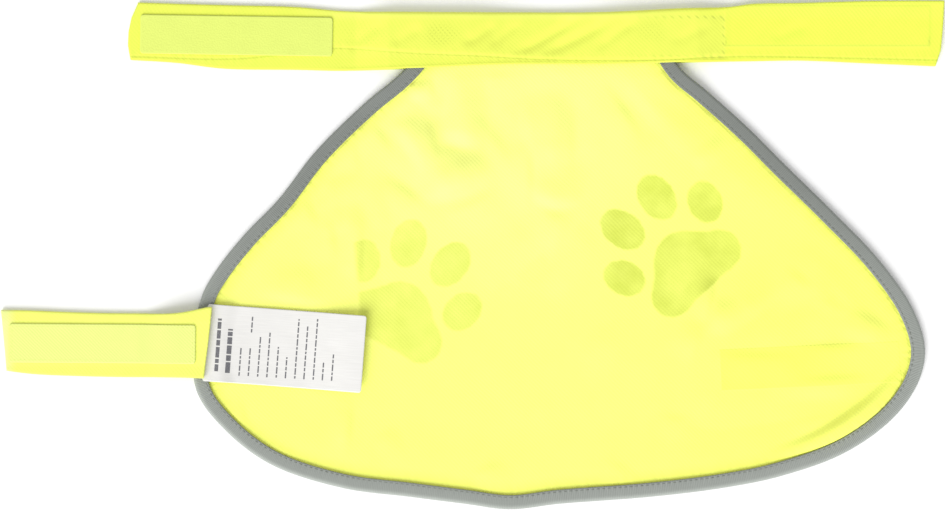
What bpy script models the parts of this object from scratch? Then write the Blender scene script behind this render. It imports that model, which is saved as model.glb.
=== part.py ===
"""A dog safety vest of size S, laid flat with its inner face up.

The back panel is one sheet of bright knit. A grey tape is folded round its edge, from one end of the
neck edge to the other. The neck edge is tucked into a neck strap, which is a strip folded lengthwise.
A belly strap is sewn over the left edge, with a care label at its seam. Hook-and-loop patches close both.

Metres, +Z up. The dog's neck is towards +Y. The origin is under the middle of the vest, on the surface.
"""

import math
from collections import namedtuple

import bmesh
import bpy
import numpy as np

# Cloth: every ply is drawn this thick, and plies that touch keep this gap.
PLY = 0.001
GAP = 0.0003
LAYER = PLY + GAP

# Driving sizes of the vest.
OVERALL_WIDTH = 0.483
OVERALL_DEPTH = 0.261
BINDING_WIDTH = 0.0075
PANEL_INSET = 1.5 * PLY + GAP
CLOSURE_WIDTH = 0.020
LEFT_END = -OVERALL_WIDTH / 2
RIGHT_END = OVERALL_WIDTH / 2
HEM_LOW = -OVERALL_DEPTH / 2
STRAP_TOP = OVERALL_DEPTH / 2
NECK_EDGE_Y = 0.1206
NECK_STRAP_LEFT = -0.1765
BELLY_STRAP_RIGHT = -0.1350

# Mesh fineness, in quads. A flat share is the part of a folded strip's rows that one of its plies takes.
PANEL_COLUMNS = 46
PANEL_ROWS = 30
BINDING_COLUMNS = 112
NECK_COLUMNS = 56
BELLY_COLUMNS = 28
PATCH_COLUMNS = 24
PATCH_ROWS = 2
LABEL_COLUMNS = 20
LABEL_ROWS = 5
BINDING_ROWS = 6
BINDING_FLAT_SHARE = 1 / 6
STRAP_ROWS = 8
STRAP_FLAT_SHARE = 1 / 4
STEPS_BETWEEN_PLACES = 10

Place = namedtuple("Place", "x y")

# The vest's outer edge, from the left end of the neck edge round by the hem to its right end. Each side
# takes up where the last one ends.
LEFT_SIDE = [
    Place(-0.0151, NECK_EDGE_Y),
    Place(-0.0351, 0.0949),
    Place(-0.0557, 0.0775),
    Place(-0.0808, 0.0528),
    Place(-0.0998, 0.0282),
    Place(-0.1177, 0.0097),
    Place(-0.1321, -0.0087),
    Place(-0.1388, -0.0210),
    Place(-0.1434, -0.0462),
    Place(-0.1413, -0.0703),
]
HEM = [
    Place(-0.1280, -0.0887),
    Place(-0.1039, -0.1072),
    Place(-0.0669, -0.1195),
    Place(-0.0321, -0.1241),
    Place(-0.0038, -0.1277),
    Place(0.0192, HEM_LOW),
    Place(0.0444, -0.1277),
    Place(0.0911, -0.1241),
    Place(0.1285, -0.1195),
    Place(0.1583, -0.1134),
    Place(0.1916, -0.1011),
    Place(0.2167, -0.0826),
    Place(0.2290, -0.0641),
]
RIGHT_SIDE = [
    Place(0.2319, -0.0477),
    Place(0.2255, -0.0272),
    Place(0.2085, -0.0026),
    Place(0.1849, 0.0221),
    Place(0.1598, 0.0467),
    Place(0.1413, 0.0652),
    Place(0.1208, 0.0836),
    Place(0.1064, 0.0959),
    Place(0.0972, 0.1113),
    Place(0.0936, NECK_EDGE_Y),
]

# The two long edges of each strap, at a few places along it.
StrapEdge = namedtuple("StrapEdge", "x top bottom")
NECK_STRAP = [
    StrapEdge(NECK_STRAP_LEFT, 0.1298, 0.1000),
    StrapEdge(-0.1521, 0.1290, 0.0985),
    StrapEdge(-0.1275, 0.1283, 0.0955),
    StrapEdge(-0.0905, 0.1273, 0.0949),
    StrapEdge(-0.0659, 0.1252, 0.0944),
    StrapEdge(-0.0290, 0.1247, 0.0955),
    StrapEdge(0.0203, 0.1245, 0.0975),
    StrapEdge(0.0695, 0.1247, 0.0975),
    StrapEdge(0.1064, 0.1265, 0.0985),
    StrapEdge(0.1311, 0.1272, 0.0990),
    StrapEdge(0.1434, 0.1288, 0.0992),
    StrapEdge(0.1680, 0.1293, 0.0995),
    StrapEdge(0.2049, 0.1303, 0.0980),
    StrapEdge(RIGHT_END, STRAP_TOP, 0.0964),
]
BELLY_STRAP = [
    StrapEdge(LEFT_END, -0.0279, -0.0590),
    StrapEdge(-0.2250, -0.0283, -0.0610),
    StrapEdge(-0.2003, -0.0293, -0.0621),
    StrapEdge(-0.1757, -0.0297, -0.0626),
    StrapEdge(-0.1511, -0.0294, -0.0626),
    StrapEdge(BELLY_STRAP_RIGHT, -0.0264, -0.0631),
]

# How far each strap end is moved towards +X, from its bottom edge up to its top edge.
NECK_LEFT_CUT = [0.0013, 0.0000, 0.0003, 0.0018, 0.0050]
NECK_RIGHT_CUT = [-0.0045, -0.0018, -0.0010, -0.0004, 0.0000]
BELLY_LEFT_CUT = [0.0028, 0.0022, 0.0015, 0.0008, 0.0000]
BELLY_RIGHT_CUT = [-0.0022, -0.0012, 0.0000, 0.0010, 0.0019]

# Flat rectangles: the hook-and-loop patches, and the label, whose left end is caught under the belly strap.
Rectangle = namedtuple("Rectangle", "x y length width turn")
NECK_LOOP = Rectangle(-0.1209, 0.1124, 0.0985, CLOSURE_WIDTH, math.radians(-0.9))
NECK_HOOK = Rectangle(0.1816, 0.1170, 0.1040, CLOSURE_WIDTH, 0.0)
BELLY_HOOK = Rectangle(-0.1893, -0.0454, 0.0960, CLOSURE_WIDTH, math.radians(-0.4))
BELLY_LOOP = Rectangle(0.1730, -0.0569, 0.0910, CLOSURE_WIDTH, math.radians(2.7))
LABEL = Rectangle(-0.0962, -0.0478, 0.0815, 0.0395, math.radians(-4.3))
LABEL_LIFT = 0.0030
LABEL_LIFT_FROM = 0.60

# The distances over which the panel comes down: the first is where it starts, the second where it ends.
OFF_BINDING = (0.009, 0.042)
OFF_STRAP = (0.004, 0.026)
OFF_PATCH = (0.004, 0.030)
OFF_LABEL = (0.004, 0.016)
LOOSE_FROM_EDGE = (0.0125, 0.026)
LABEL_OFF_BINDING = (0.013, 0.021)

# The neck strap comes up onto its own lower patch, and its upper ply clears what is tucked inside.
STRAP_OFF_PATCH = (0.008, 0.022)
CEILING_MARGIN = 0.0150
CEILING_SMOOTHING = 0.0080

# The belly strap climbs over the binding and the label between these places.
BELLY_CLIMB = (-0.1700, -0.1490)

# Broad places where the cloth stands off the surface. Less than SETTLE of it is pressed flat.
SETTLE = 0.0004
Swell = namedtuple("Swell", "x y reach_x reach_y height")
SWELLS = [
    Swell(0.0200, 0.0560, 0.0560, 0.0330, 0.0026),
    Swell(-0.0480, 0.0280, 0.0330, 0.0280, 0.0020),
    Swell(0.0880, 0.0680, 0.0280, 0.0260, 0.0017),
    Swell(0.0500, -0.0020, 0.0360, 0.0240, 0.0014),
    Swell(0.1780, -0.0100, 0.0340, 0.0170, 0.0018),
    Swell(0.1880, -0.0800, 0.0320, 0.0160, 0.0015),
]

# Creases of the panel. Height is above the cloth round it, or below it where negative.
Fold = namedtuple("Fold", "x0 y0 x1 y1 bow reach height")
FOLDS = [
    Fold(0.0030, 0.0770, 0.0240, 0.0490, 0.0025, 0.0065, -0.0007),
    Fold(0.0540, 0.0900, 0.0530, 0.0370, 0.0000, 0.0065, -0.0008),
    Fold(0.0720, 0.0880, 0.0960, 0.0550, 0.0010, 0.0065, -0.0008),
    Fold(0.0410, 0.0880, 0.0420, 0.0440, 0.0000, 0.0070, 0.0009),
    Fold(0.0270, 0.0370, 0.0590, 0.0330, -0.0060, 0.0070, 0.0007),
    Fold(-0.0230, 0.0350, 0.0110, 0.0480, 0.0000, 0.0070, 0.0013),
    Fold(-0.0200, 0.0770, -0.0110, 0.0500, 0.0000, 0.0065, -0.0010),
    Fold(-0.0420, 0.0730, -0.0230, 0.0420, 0.0030, 0.0065, 0.0009),
    Fold(-0.0500, 0.0460, -0.0250, 0.0270, 0.0010, 0.0065, -0.0011),
    Fold(-0.0600, 0.0260, -0.0600, -0.0170, 0.0000, 0.0065, 0.0013),
    Fold(-0.0790, 0.0330, -0.0720, 0.0080, 0.0020, 0.0070, 0.0010),
    Fold(0.0270, 0.0170, 0.0030, -0.0220, 0.0000, 0.0075, 0.0007),
    Fold(0.0590, 0.0170, 0.0390, -0.0230, 0.0000, 0.0080, 0.0007),
    Fold(0.1200, -0.0380, 0.1460, -0.0200, 0.0000, 0.0065, 0.0007),
    Fold(0.1660, -0.0130, 0.2100, -0.0380, 0.0000, 0.0075, 0.0011),
    Fold(0.2130, -0.0620, 0.1640, -0.0960, 0.0020, 0.0070, 0.0022),
    Fold(-0.0670, -0.0740, -0.0670, -0.1010, 0.0010, 0.0070, 0.0008),
    Fold(0.0140, -0.1060, -0.0040, -0.1140, 0.0010, 0.0070, 0.0008),
]

# The share of a fold's length over which it rises from nothing, at each end.
FOLD_TAPER = 0.30

Material = namedtuple("Material", "name color roughness")
PANEL_KNIT = Material("panel_knit", (0.93, 1.0, 0.24, 1.0), 0.75)
STRAP_KNIT = Material("strap_knit", (0.95, 0.98, 0.13, 1.0), 0.75)
BINDING_TAPE = Material("binding_tape", (0.28, 0.31, 0.28, 1.0), 0.55)
CLOSURE_TAPE = Material("closure_tape", (0.80, 0.94, 0.24, 1.0), 0.9)
LABEL_SATIN = Material("label_satin", (0.88, 0.88, 0.85, 1.0), 0.5)


# The scene and its materials

def clear_scene():
    for obj in list(bpy.data.objects):
        bpy.data.objects.remove(obj, do_unlink=True)


def new_collection(name):
    collection = bpy.data.collections.new(name)
    bpy.context.scene.collection.children.link(collection)
    return collection


def new_material(look):
    material = bpy.data.materials.new(look.name)
    material.use_nodes = True
    shader = material.node_tree.nodes["Principled BSDF"]
    shader.inputs["Base Color"].default_value = look.color
    shader.inputs["Roughness"].default_value = look.roughness
    shader.inputs["Metallic"].default_value = 0.0
    return material


# Curves and distances in the plane of the surface

def ease(value, start, end):
    """0 up to start and 1 from end on, with a smooth rise between."""
    share = np.clip((value - start) / (end - start), 0.0, 1.0)
    return share * share * (3.0 - 2.0 * share)


def between(a, b, start, end, knot):
    """The straight blend from a at the start to b at the end."""
    share = (knot - start) / (end - start)
    return (1 - share) * a + share * b


def smooth_path(places):
    """A smooth polyline through the places: a centripetal Catmull-Rom curve."""
    points = np.array(places, float)
    before = 2 * points[0] - points[1]
    after = 2 * points[-1] - points[-2]
    points = np.vstack([before, points, after])
    path = []
    for p0, p1, p2, p3 in zip(points, points[1:], points[2:], points[3:]):
        spans = [math.sqrt(math.dist(a, b)) for a, b in ((p0, p1), (p1, p2), (p2, p3))]
        k0, k1, k2, k3 = np.cumsum([0.0] + spans)
        for knot in np.linspace(k1, k2, STEPS_BETWEEN_PLACES, endpoint=False):
            a1 = between(p0, p1, k0, k1, knot)
            a2 = between(p1, p2, k1, k2, knot)
            a3 = between(p2, p3, k2, k3, knot)
            b1 = between(a1, a2, k0, k2, knot)
            b2 = between(a2, a3, k1, k3, knot)
            path.append(between(b1, b2, k1, k2, knot))
    path.append(points[-2])
    return np.array(path)


def along(path, shares, values=None):
    """The points of a polyline, or the values given at its points, at these shares of its length."""
    steps = np.linalg.norm(np.diff(path, axis=0), axis=1)
    run = np.concatenate([[0.0], np.cumsum(steps)])
    wanted = np.asarray(shares) * run[-1]
    columns = path if values is None else values
    return np.column_stack([np.interp(wanted, run, columns[:, 0]), np.interp(wanted, run, columns[:, 1])])


def inward(path):
    """Unit normals to the left of a path, which is the inside of the vest's outline."""
    run = np.gradient(path, axis=0)
    run /= np.linalg.norm(run, axis=1)[:, None]
    return np.column_stack([-run[:, 1], run[:, 0]])


def distance_to(path, x, y):
    """How far each point is from a polyline."""
    points = np.column_stack([np.ravel(x), np.ravel(y)])
    nearest = np.full(len(points), np.inf)
    for start, end in zip(path[:-1], path[1:]):
        run = end - start
        share = np.clip((points - start) @ run / (run @ run), 0.0, 1.0)
        away = np.linalg.norm(points - start - share[:, None] * run, axis=1)
        nearest = np.minimum(nearest, away)
    return nearest.reshape(np.shape(x))


def distance_outside(rectangle, x, y):
    """How far each point is outside a flat rectangle, and 0 on it."""
    cos, sin = math.cos(rectangle.turn), math.sin(rectangle.turn)
    lengthwise = (x - rectangle.x) * cos + (y - rectangle.y) * sin
    crosswise = (y - rectangle.y) * cos - (x - rectangle.x) * sin
    past_end = np.maximum(np.abs(lengthwise) - rectangle.length / 2, 0.0)
    past_side = np.maximum(np.abs(crosswise) - rectangle.width / 2, 0.0)
    return np.hypot(past_end, past_side)


OUTLINE = smooth_path(LEFT_SIDE + HEM + RIGHT_SIDE)
LEFT_CORNER = STEPS_BETWEEN_PLACES * (len(LEFT_SIDE) - 1)
RIGHT_CORNER = LEFT_CORNER + STEPS_BETWEEN_PLACES * len(HEM)
NECK_TOP_PATH = smooth_path([(row.x, row.top) for row in NECK_STRAP])
NECK_BOTTOM_PATH = smooth_path([(row.x, row.bottom) for row in NECK_STRAP])
BELLY_TOP_PATH = smooth_path([(row.x, row.top) for row in BELLY_STRAP])
BELLY_BOTTOM_PATH = smooth_path([(row.x, row.bottom) for row in BELLY_STRAP])


def height_on(path, x):
    return np.interp(x, path[:, 0], path[:, 1])


# The back panel

def fold_line(fold, steps=10):
    """A crease's line: a parabola from end to end, bowed to its left."""
    start = np.array([fold.x0, fold.y0])
    run = np.array([fold.x1, fold.y1]) - start
    side = np.array([-run[1], run[0]]) / np.linalg.norm(run)
    shares = np.linspace(0.0, 1.0, steps + 1)[:, None]
    return start + shares * run + 4 * fold.bow * shares * (1 - shares) * side


def tapered(line, x, y):
    """1 beside the middle of a line, falling to 0 at both of its ends."""
    run = line[-1] - line[0]
    share = ((x - line[0][0]) * run[0] + (y - line[0][1]) * run[1]) / (run @ run)
    return ease(share, 0.0, FOLD_TAPER) * ease(1.0 - share, 0.0, FOLD_TAPER)


def looseness(x, y):
    """How high the swells and creases lift the cloth, where nothing holds it."""
    lift = -SETTLE * np.ones_like(x)
    for swell in SWELLS:
        away = ((x - swell.x) / swell.reach_x) ** 2 + ((y - swell.y) / swell.reach_y) ** 2
        lift += swell.height * np.exp(-away)
    for fold in FOLDS:
        line = fold_line(fold)
        away = distance_to(line, x, y) / fold.reach
        lift += fold.height * tapered(line, x, y) * np.exp(-(away**2))
    lift = np.maximum(lift, 0.0)
    return lift**2 / (lift + SETTLE)


def panel_under(x, y):
    """The height of the panel's underside above the surface."""
    edge = distance_to(OUTLINE, x, y)
    below_strap = height_on(NECK_BOTTOM_PATH, x) - y
    on_binding = 1.0 - ease(edge, *OFF_BINDING)
    on_patch = 1.0 - ease(distance_outside(BELLY_LOOP, x, y), *OFF_PATCH)
    in_strap = 1.0 - ease(below_strap, *OFF_STRAP)
    carried = LAYER * (np.maximum(on_binding, on_patch) + in_strap)
    free = ease(edge, *LOOSE_FROM_EDGE) * (1.0 - in_strap) * (1.0 - on_patch)
    free = free * ease(distance_outside(LABEL, x, y), *OFF_LABEL)
    return carried + looseness(x, y) * free


def panel_place(u, v):
    """The panel's underside, cut a little inside the vest's edge: v runs from the hem to the neck edge."""
    cut = OUTLINE + PANEL_INSET * inward(OUTLINE)
    left = cut[: LEFT_CORNER + 1]
    hem = cut[LEFT_CORNER : RIGHT_CORNER + 1]
    right = cut[RIGHT_CORNER:]
    neck = np.array([left[0], right[-1]])
    from_hem, from_neck = along(hem, u), along(neck, u)
    from_left, from_right = along(left[::-1], v), along(right, v)
    u, v = u[:, None], v[:, None]
    corners = (1 - u) * (1 - v) * hem[0] + u * (1 - v) * hem[-1] + (1 - u) * v * neck[0] + u * v * neck[1]
    flat = (1 - v) * from_hem + v * from_neck + (1 - u) * from_left + u * from_right - corners
    x, y = flat.T
    return np.column_stack([x, y, panel_under(x, y)])


def closer_at_ends(share):
    """Shares of a length, spaced closer together towards both ends."""
    return share - 0.4 * np.sin(2 * math.pi * share) / (2 * math.pi)


# Strips folded lengthwise

def fold_section(v, flat_share):
    """Where v lies on a folded strip: its share of a flat ply from the open edge, and its turn round."""
    flat = np.minimum(np.minimum(v, 1.0 - v) / flat_share, 1.0)
    turn = math.pi * np.clip((v - flat_share) / (1.0 - 2 * flat_share), 0.0, 1.0)
    return flat, turn


def binding_place(u, v):
    """The tape's inner face: under the panel, round its edge and back over it."""
    path = along(OUTLINE, u)
    side = along(OUTLINE, u, inward(OUTLINE))
    side /= np.linalg.norm(side, axis=1)[:, None]
    radius = PLY / 2 + GAP
    flat, turn = fold_section(v, BINDING_FLAT_SHARE)
    depth = BINDING_WIDTH - flat * (BINDING_WIDTH - PLY - radius) - radius * np.sin(turn)
    place = path + depth[:, None] * side
    x, y = (path + np.maximum(depth, PANEL_INSET)[:, None] * side).T
    middle = panel_under(x, y) + PLY / 2
    return np.column_stack([place, middle - radius * np.cos(turn)])


def strap_place(u, v, edges, ends, floor, ceiling):
    """A strap's inner face: the upper ply, the fold at its top edge, then the lower ply."""
    flat, turn = fold_section(v, STRAP_FLAT_SHARE)
    shares = np.linspace(0.0, 1.0, len(ends[1]))
    start = ends[0] + np.interp(flat, shares, ends[1])
    stop = ends[2] + np.interp(flat, shares, ends[3])
    x = start + u * (stop - start)
    low, high = floor(x) + PLY, ceiling(x)
    radius = (high - low) / 2
    top, bottom = height_on(edges[0], x), height_on(edges[1], x)
    crease = top - PLY - radius
    y = bottom + flat * (crease - bottom) + radius * np.sin(turn)
    return np.column_stack([x, y, (low + high) / 2 + radius * np.cos(turn)])


def neck_floor(x):
    """The underside of the neck strap's lower ply: on the surface, then up on the hook patch."""
    before_patch = NECK_HOOK.x - NECK_HOOK.length / 2 - x
    return LAYER * (1.0 - ease(before_patch, *STRAP_OFF_PATCH))


def tucked_top(x, y):
    """The height that the neck strap's upper ply has to clear: the panel, or the binding on it."""
    left, right = OUTLINE[: LEFT_CORNER + 1], OUTLINE[RIGHT_CORNER:]
    left_x = np.interp(y, left[::-1, 1], left[::-1, 0])
    right_x = np.interp(y, right[:, 1], right[:, 0])
    inside = (x > left_x - GAP) & (x < right_x + GAP)
    bound = distance_to(OUTLINE, x, y) < BINDING_WIDTH + GAP
    panel_top = panel_under(x, y) + LAYER
    return np.where(inside, panel_top + np.where(bound, LAYER, 0.0), 0.0)


def neck_ceiling(x):
    """The underside of the neck strap's upper ply."""
    places = np.linspace(NECK_STRAP_LEFT, RIGHT_END, 420)
    spacing = places[1] - places[0]
    across = np.linspace(min(NECK_BOTTOM_PATH[:, 1]), NECK_EDGE_Y, 12)
    grid_x, grid_y = np.meshgrid(places, across, indexing="ij")
    needed = np.maximum(tucked_top(grid_x, grid_y).max(axis=1), neck_floor(places) + LAYER)
    margin = round(CEILING_MARGIN / spacing)
    windows = [needed[max(0, i - margin) : i + margin + 1] for i in range(len(places))]
    widened = np.array([window.max() for window in windows])
    reach = round(CEILING_SMOOTHING / spacing)
    kernel = np.ones(2 * reach + 1) / (2 * reach + 1)
    smooth = np.convolve(np.pad(widened, reach, mode="edge"), kernel, mode="valid")
    return np.interp(x, places, smooth)


def neck_strap_place(u, v):
    edges = (NECK_TOP_PATH, NECK_BOTTOM_PATH)
    ends = (NECK_STRAP_LEFT, NECK_LEFT_CUT, RIGHT_END, NECK_RIGHT_CUT)
    return strap_place(u, v, edges, ends, neck_floor, neck_ceiling)


def belly_floor(x):
    """The underside of the belly strap's lower ply: on the surface, then over binding and label."""
    over = 4 * LAYER
    return over * ease(x, *BELLY_CLIMB)


def belly_ceiling(x):
    return belly_floor(x) + LAYER


def belly_strap_place(u, v):
    edges = (BELLY_TOP_PATH, BELLY_BOTTOM_PATH)
    ends = (LEFT_END, BELLY_LEFT_CUT, BELLY_STRAP_RIGHT, BELLY_RIGHT_CUT)
    return strap_place(u, v, edges, ends, belly_floor, belly_ceiling)


# Patches and label

def rectangle_place(rectangle, under):
    """The underside of a flat rectangle, where under(u, x, y) gives its height."""

    def place(u, v):
        lengthwise = (u - 0.5) * rectangle.length
        crosswise = (v - 0.5) * rectangle.width
        cos, sin = math.cos(rectangle.turn), math.sin(rectangle.turn)
        x = rectangle.x + lengthwise * cos - crosswise * sin
        y = rectangle.y + lengthwise * sin + crosswise * cos
        return np.column_stack([x, y, under(u, x, y)])

    return place


def on_neck_strap(u, x, y):
    return neck_ceiling(x) + LAYER


def on_belly_strap(u, x, y):
    return belly_ceiling(x) + LAYER


def on_surface(u, x, y):
    return np.zeros_like(x)


def on_panel(u, x, y):
    """The label lies on the panel, steps up on the binding, and its free end stands up."""
    over_binding = 1.0 - ease(distance_to(OUTLINE, x, y), *LABEL_OFF_BINDING)
    return panel_under(x, y) + LAYER + LAYER * over_binding + LABEL_LIFT * ease(u, LABEL_LIFT_FROM, 1.0)


def add_cloth(name, columns, rows, place, look, collection, spacing=None):
    """One piece of cloth: a flat grid moved to its place, then thickened by one ply away from it."""
    grid = bmesh.new()
    bmesh.ops.create_grid(grid, x_segments=columns, y_segments=rows, size=0.5)
    u, v = np.array([vert.co[:2] for vert in grid.verts]).T + 0.5
    if spacing:
        u, v = spacing(u), spacing(v)
    for vert, point in zip(grid.verts, place(u, v)):
        vert.co = point
    mesh = bpy.data.meshes.new(name)
    grid.to_mesh(mesh)
    grid.free()
    mesh.shade_smooth()
    mesh.materials.append(new_material(look))
    obj = bpy.data.objects.new(name, mesh)
    thicken = obj.modifiers.new("ply", "SOLIDIFY")
    thicken.thickness = PLY
    thicken.offset = 1.0
    collection.objects.link(obj)


def main():
    clear_scene()
    vest = new_collection("dog_safety_vest")
    add_cloth("back_panel", PANEL_COLUMNS, PANEL_ROWS, panel_place, PANEL_KNIT, vest, closer_at_ends)
    add_cloth("edge_binding", BINDING_COLUMNS, BINDING_ROWS, binding_place, BINDING_TAPE, vest)
    add_cloth("neck_strap", NECK_COLUMNS, STRAP_ROWS, neck_strap_place, STRAP_KNIT, vest)
    add_cloth("belly_strap", BELLY_COLUMNS, STRAP_ROWS, belly_strap_place, STRAP_KNIT, vest)
    patches = {
        "neck_loop_patch": rectangle_place(NECK_LOOP, on_neck_strap),
        "neck_hook_patch": rectangle_place(NECK_HOOK, on_surface),
        "belly_hook_patch": rectangle_place(BELLY_HOOK, on_belly_strap),
        "belly_loop_patch": rectangle_place(BELLY_LOOP, on_surface),
    }
    for name, place in patches.items():
        add_cloth(name, PATCH_COLUMNS, PATCH_ROWS, place, CLOSURE_TAPE, vest)
    label_place = rectangle_place(LABEL, on_panel)
    add_cloth("care_label", LABEL_COLUMNS, LABEL_ROWS, label_place, LABEL_SATIN, vest)


main()
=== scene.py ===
"""Looks of the dog safety vest, laid flat with its inner face up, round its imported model.

Every piece of cloth is a thin sheet in the place of its solid, with finer creases, puckered seams, real
stitches and a woven or knitted surface. Metres, +Z up, in the model's frame: the dog's neck is towards +Y.
"""

import math
from collections import namedtuple

import bmesh
import bpy
import numpy as np
from mathutils import Matrix, Vector


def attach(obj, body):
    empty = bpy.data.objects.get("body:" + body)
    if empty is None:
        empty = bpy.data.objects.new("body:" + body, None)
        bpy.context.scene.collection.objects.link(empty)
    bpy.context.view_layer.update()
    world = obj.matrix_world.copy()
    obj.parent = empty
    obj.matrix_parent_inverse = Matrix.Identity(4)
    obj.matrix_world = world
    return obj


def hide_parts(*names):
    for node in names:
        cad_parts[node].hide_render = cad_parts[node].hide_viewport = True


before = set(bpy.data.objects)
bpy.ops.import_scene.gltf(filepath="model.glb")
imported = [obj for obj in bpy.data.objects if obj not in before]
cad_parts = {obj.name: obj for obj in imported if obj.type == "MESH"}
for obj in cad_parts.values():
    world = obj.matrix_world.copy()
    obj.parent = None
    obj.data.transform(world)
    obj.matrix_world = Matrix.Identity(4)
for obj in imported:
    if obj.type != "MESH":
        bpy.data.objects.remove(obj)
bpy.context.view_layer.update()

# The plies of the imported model, which the cloth here lies in the middle of.
PLY = 0.001
GAP = 0.0003
LAYER = PLY + GAP

# Real thicknesses, as drawn here.
KNIT = 0.0006
TAPE = 0.0007
NAP = 0.0005
SATIN = 0.0003
STRIP = 0.0002
PATCH_SINK = (PLY - KNIT) / 2 + (PLY - NAP) / 2 + GAP - 0.0001
STRIP_DROP = 0.00065

# Each sheet's faces, along it and across it, and how much closer they are at its ends.
PANEL_GRID = (270, 182)
BINDING_GRID = (1300, 18)
STRAP_ROWS = 50
PATCH_GRID = (120, 26)
STRIP_GRID = (160, 16)
LABEL_GRID = (110, 56)
END_PULL = 0.25

# Stitches: their length, width and height, how unevenly long they are, and how far apart they are.
BINDING_STITCH = (0.0021, 0.00050, 0.00034)
PATCH_STITCH = (0.0019, 0.00026, 0.00018)
STRIP_STITCH = (0.0019, 0.00040, 0.00030)
STITCH_WOBBLE = 0.06
STITCH_BEAT = 2.4
BINDING_PITCH = 0.0028
PATCH_PITCH = 0.0026
PATCH_SEAM_INSET = 0.0015
STRIP_SEAM_INSET = 0.0012

# The share of the pitch from a stitch's middle to where it heads, and the points on a seam's line.
STITCH_HEAD = 0.3
BINDING_LINE_POINTS = 1400
BORDER_LINE_POINTS = 400

# How deep rows of stitches are sunk into the cloth: over and under the binding, and round the patches.
# STRIP_STITCH_LIFT brings those of the reflective strip back up to its face.
OVER_SINK = 0.00008
UNDER_SINK = 0.00012
PATCH_STITCH_SINK = 0.00004
STRIP_STITCH_LIFT = 0.0006

# How far each stitch draws the binding down, and the reach of that.
STITCH_DIP = 0.00022
STITCH_DIP_REACH = 0.0011

# Driving sizes of the vest, the same as the model's.
OVERALL_WIDTH = 0.483
OVERALL_DEPTH = 0.261
BINDING_WIDTH = 0.0075
PANEL_INSET = 1.5 * PLY + GAP
CLOSURE_WIDTH = 0.020
LEFT_END = -OVERALL_WIDTH / 2
RIGHT_END = OVERALL_WIDTH / 2
HEM_LOW = -OVERALL_DEPTH / 2
STRAP_TOP = OVERALL_DEPTH / 2
NECK_EDGE_Y = 0.1206
NECK_STRAP_LEFT = -0.1765
BELLY_STRAP_RIGHT = -0.1350

STEPS_BETWEEN_PLACES = 10


def in_metres(kind, rows):
    """A table's rows with their columns named. They are given in millimetres."""
    return [kind(*(value / 1000 for value in row)) for row in rows]


Place = namedtuple("Place", "x y")

# The vest's outer edge, from the left end of the neck edge round by the hem to its right end.
LEFT_SIDE = [
    Place(-0.0151, NECK_EDGE_Y),
    Place(-0.0351, 0.0949),
    Place(-0.0557, 0.0775),
    Place(-0.0808, 0.0528),
    Place(-0.0998, 0.0282),
    Place(-0.1177, 0.0097),
    Place(-0.1321, -0.0087),
    Place(-0.1388, -0.0210),
    Place(-0.1434, -0.0462),
    Place(-0.1413, -0.0703),
]
HEM = [
    Place(-0.1280, -0.0887),
    Place(-0.1039, -0.1072),
    Place(-0.0669, -0.1195),
    Place(-0.0321, -0.1241),
    Place(-0.0038, -0.1277),
    Place(0.0192, HEM_LOW),
    Place(0.0444, -0.1277),
    Place(0.0911, -0.1241),
    Place(0.1285, -0.1195),
    Place(0.1583, -0.1134),
    Place(0.1916, -0.1011),
    Place(0.2167, -0.0826),
    Place(0.2290, -0.0641),
]
RIGHT_SIDE = [
    Place(0.2319, -0.0477),
    Place(0.2255, -0.0272),
    Place(0.2085, -0.0026),
    Place(0.1849, 0.0221),
    Place(0.1598, 0.0467),
    Place(0.1413, 0.0652),
    Place(0.1208, 0.0836),
    Place(0.1064, 0.0959),
    Place(0.0972, 0.1113),
    Place(0.0936, NECK_EDGE_Y),
]

# The two long edges of each strap, at a few places along it.
StrapEdge = namedtuple("StrapEdge", "x top bottom")
NECK_STRAP = [
    StrapEdge(NECK_STRAP_LEFT, 0.1298, 0.1000),
    StrapEdge(-0.1521, 0.1290, 0.0985),
    StrapEdge(-0.1275, 0.1283, 0.0955),
    StrapEdge(-0.0905, 0.1273, 0.0949),
    StrapEdge(-0.0659, 0.1252, 0.0944),
    StrapEdge(-0.0290, 0.1247, 0.0955),
    StrapEdge(0.0203, 0.1245, 0.0975),
    StrapEdge(0.0695, 0.1247, 0.0975),
    StrapEdge(0.1064, 0.1265, 0.0985),
    StrapEdge(0.1311, 0.1272, 0.0990),
    StrapEdge(0.1434, 0.1288, 0.0992),
    StrapEdge(0.1680, 0.1293, 0.0995),
    StrapEdge(0.2049, 0.1303, 0.0980),
    StrapEdge(RIGHT_END, STRAP_TOP, 0.0964),
]
BELLY_STRAP = [
    StrapEdge(LEFT_END, -0.0279, -0.0590),
    StrapEdge(-0.2250, -0.0283, -0.0610),
    StrapEdge(-0.2003, -0.0293, -0.0621),
    StrapEdge(-0.1757, -0.0297, -0.0626),
    StrapEdge(-0.1511, -0.0294, -0.0626),
    StrapEdge(BELLY_STRAP_RIGHT, -0.0264, -0.0631),
]

# How far each strap end is moved towards +X, from its bottom edge up to its top edge.
NECK_LEFT_CUT = [0.0013, 0.0000, 0.0003, 0.0018, 0.0050]
NECK_RIGHT_CUT = [-0.0045, -0.0018, -0.0010, -0.0004, 0.0000]
BELLY_LEFT_CUT = [0.0028, 0.0022, 0.0015, 0.0008, 0.0000]
BELLY_RIGHT_CUT = [-0.0022, -0.0012, 0.0000, 0.0010, 0.0019]

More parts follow.
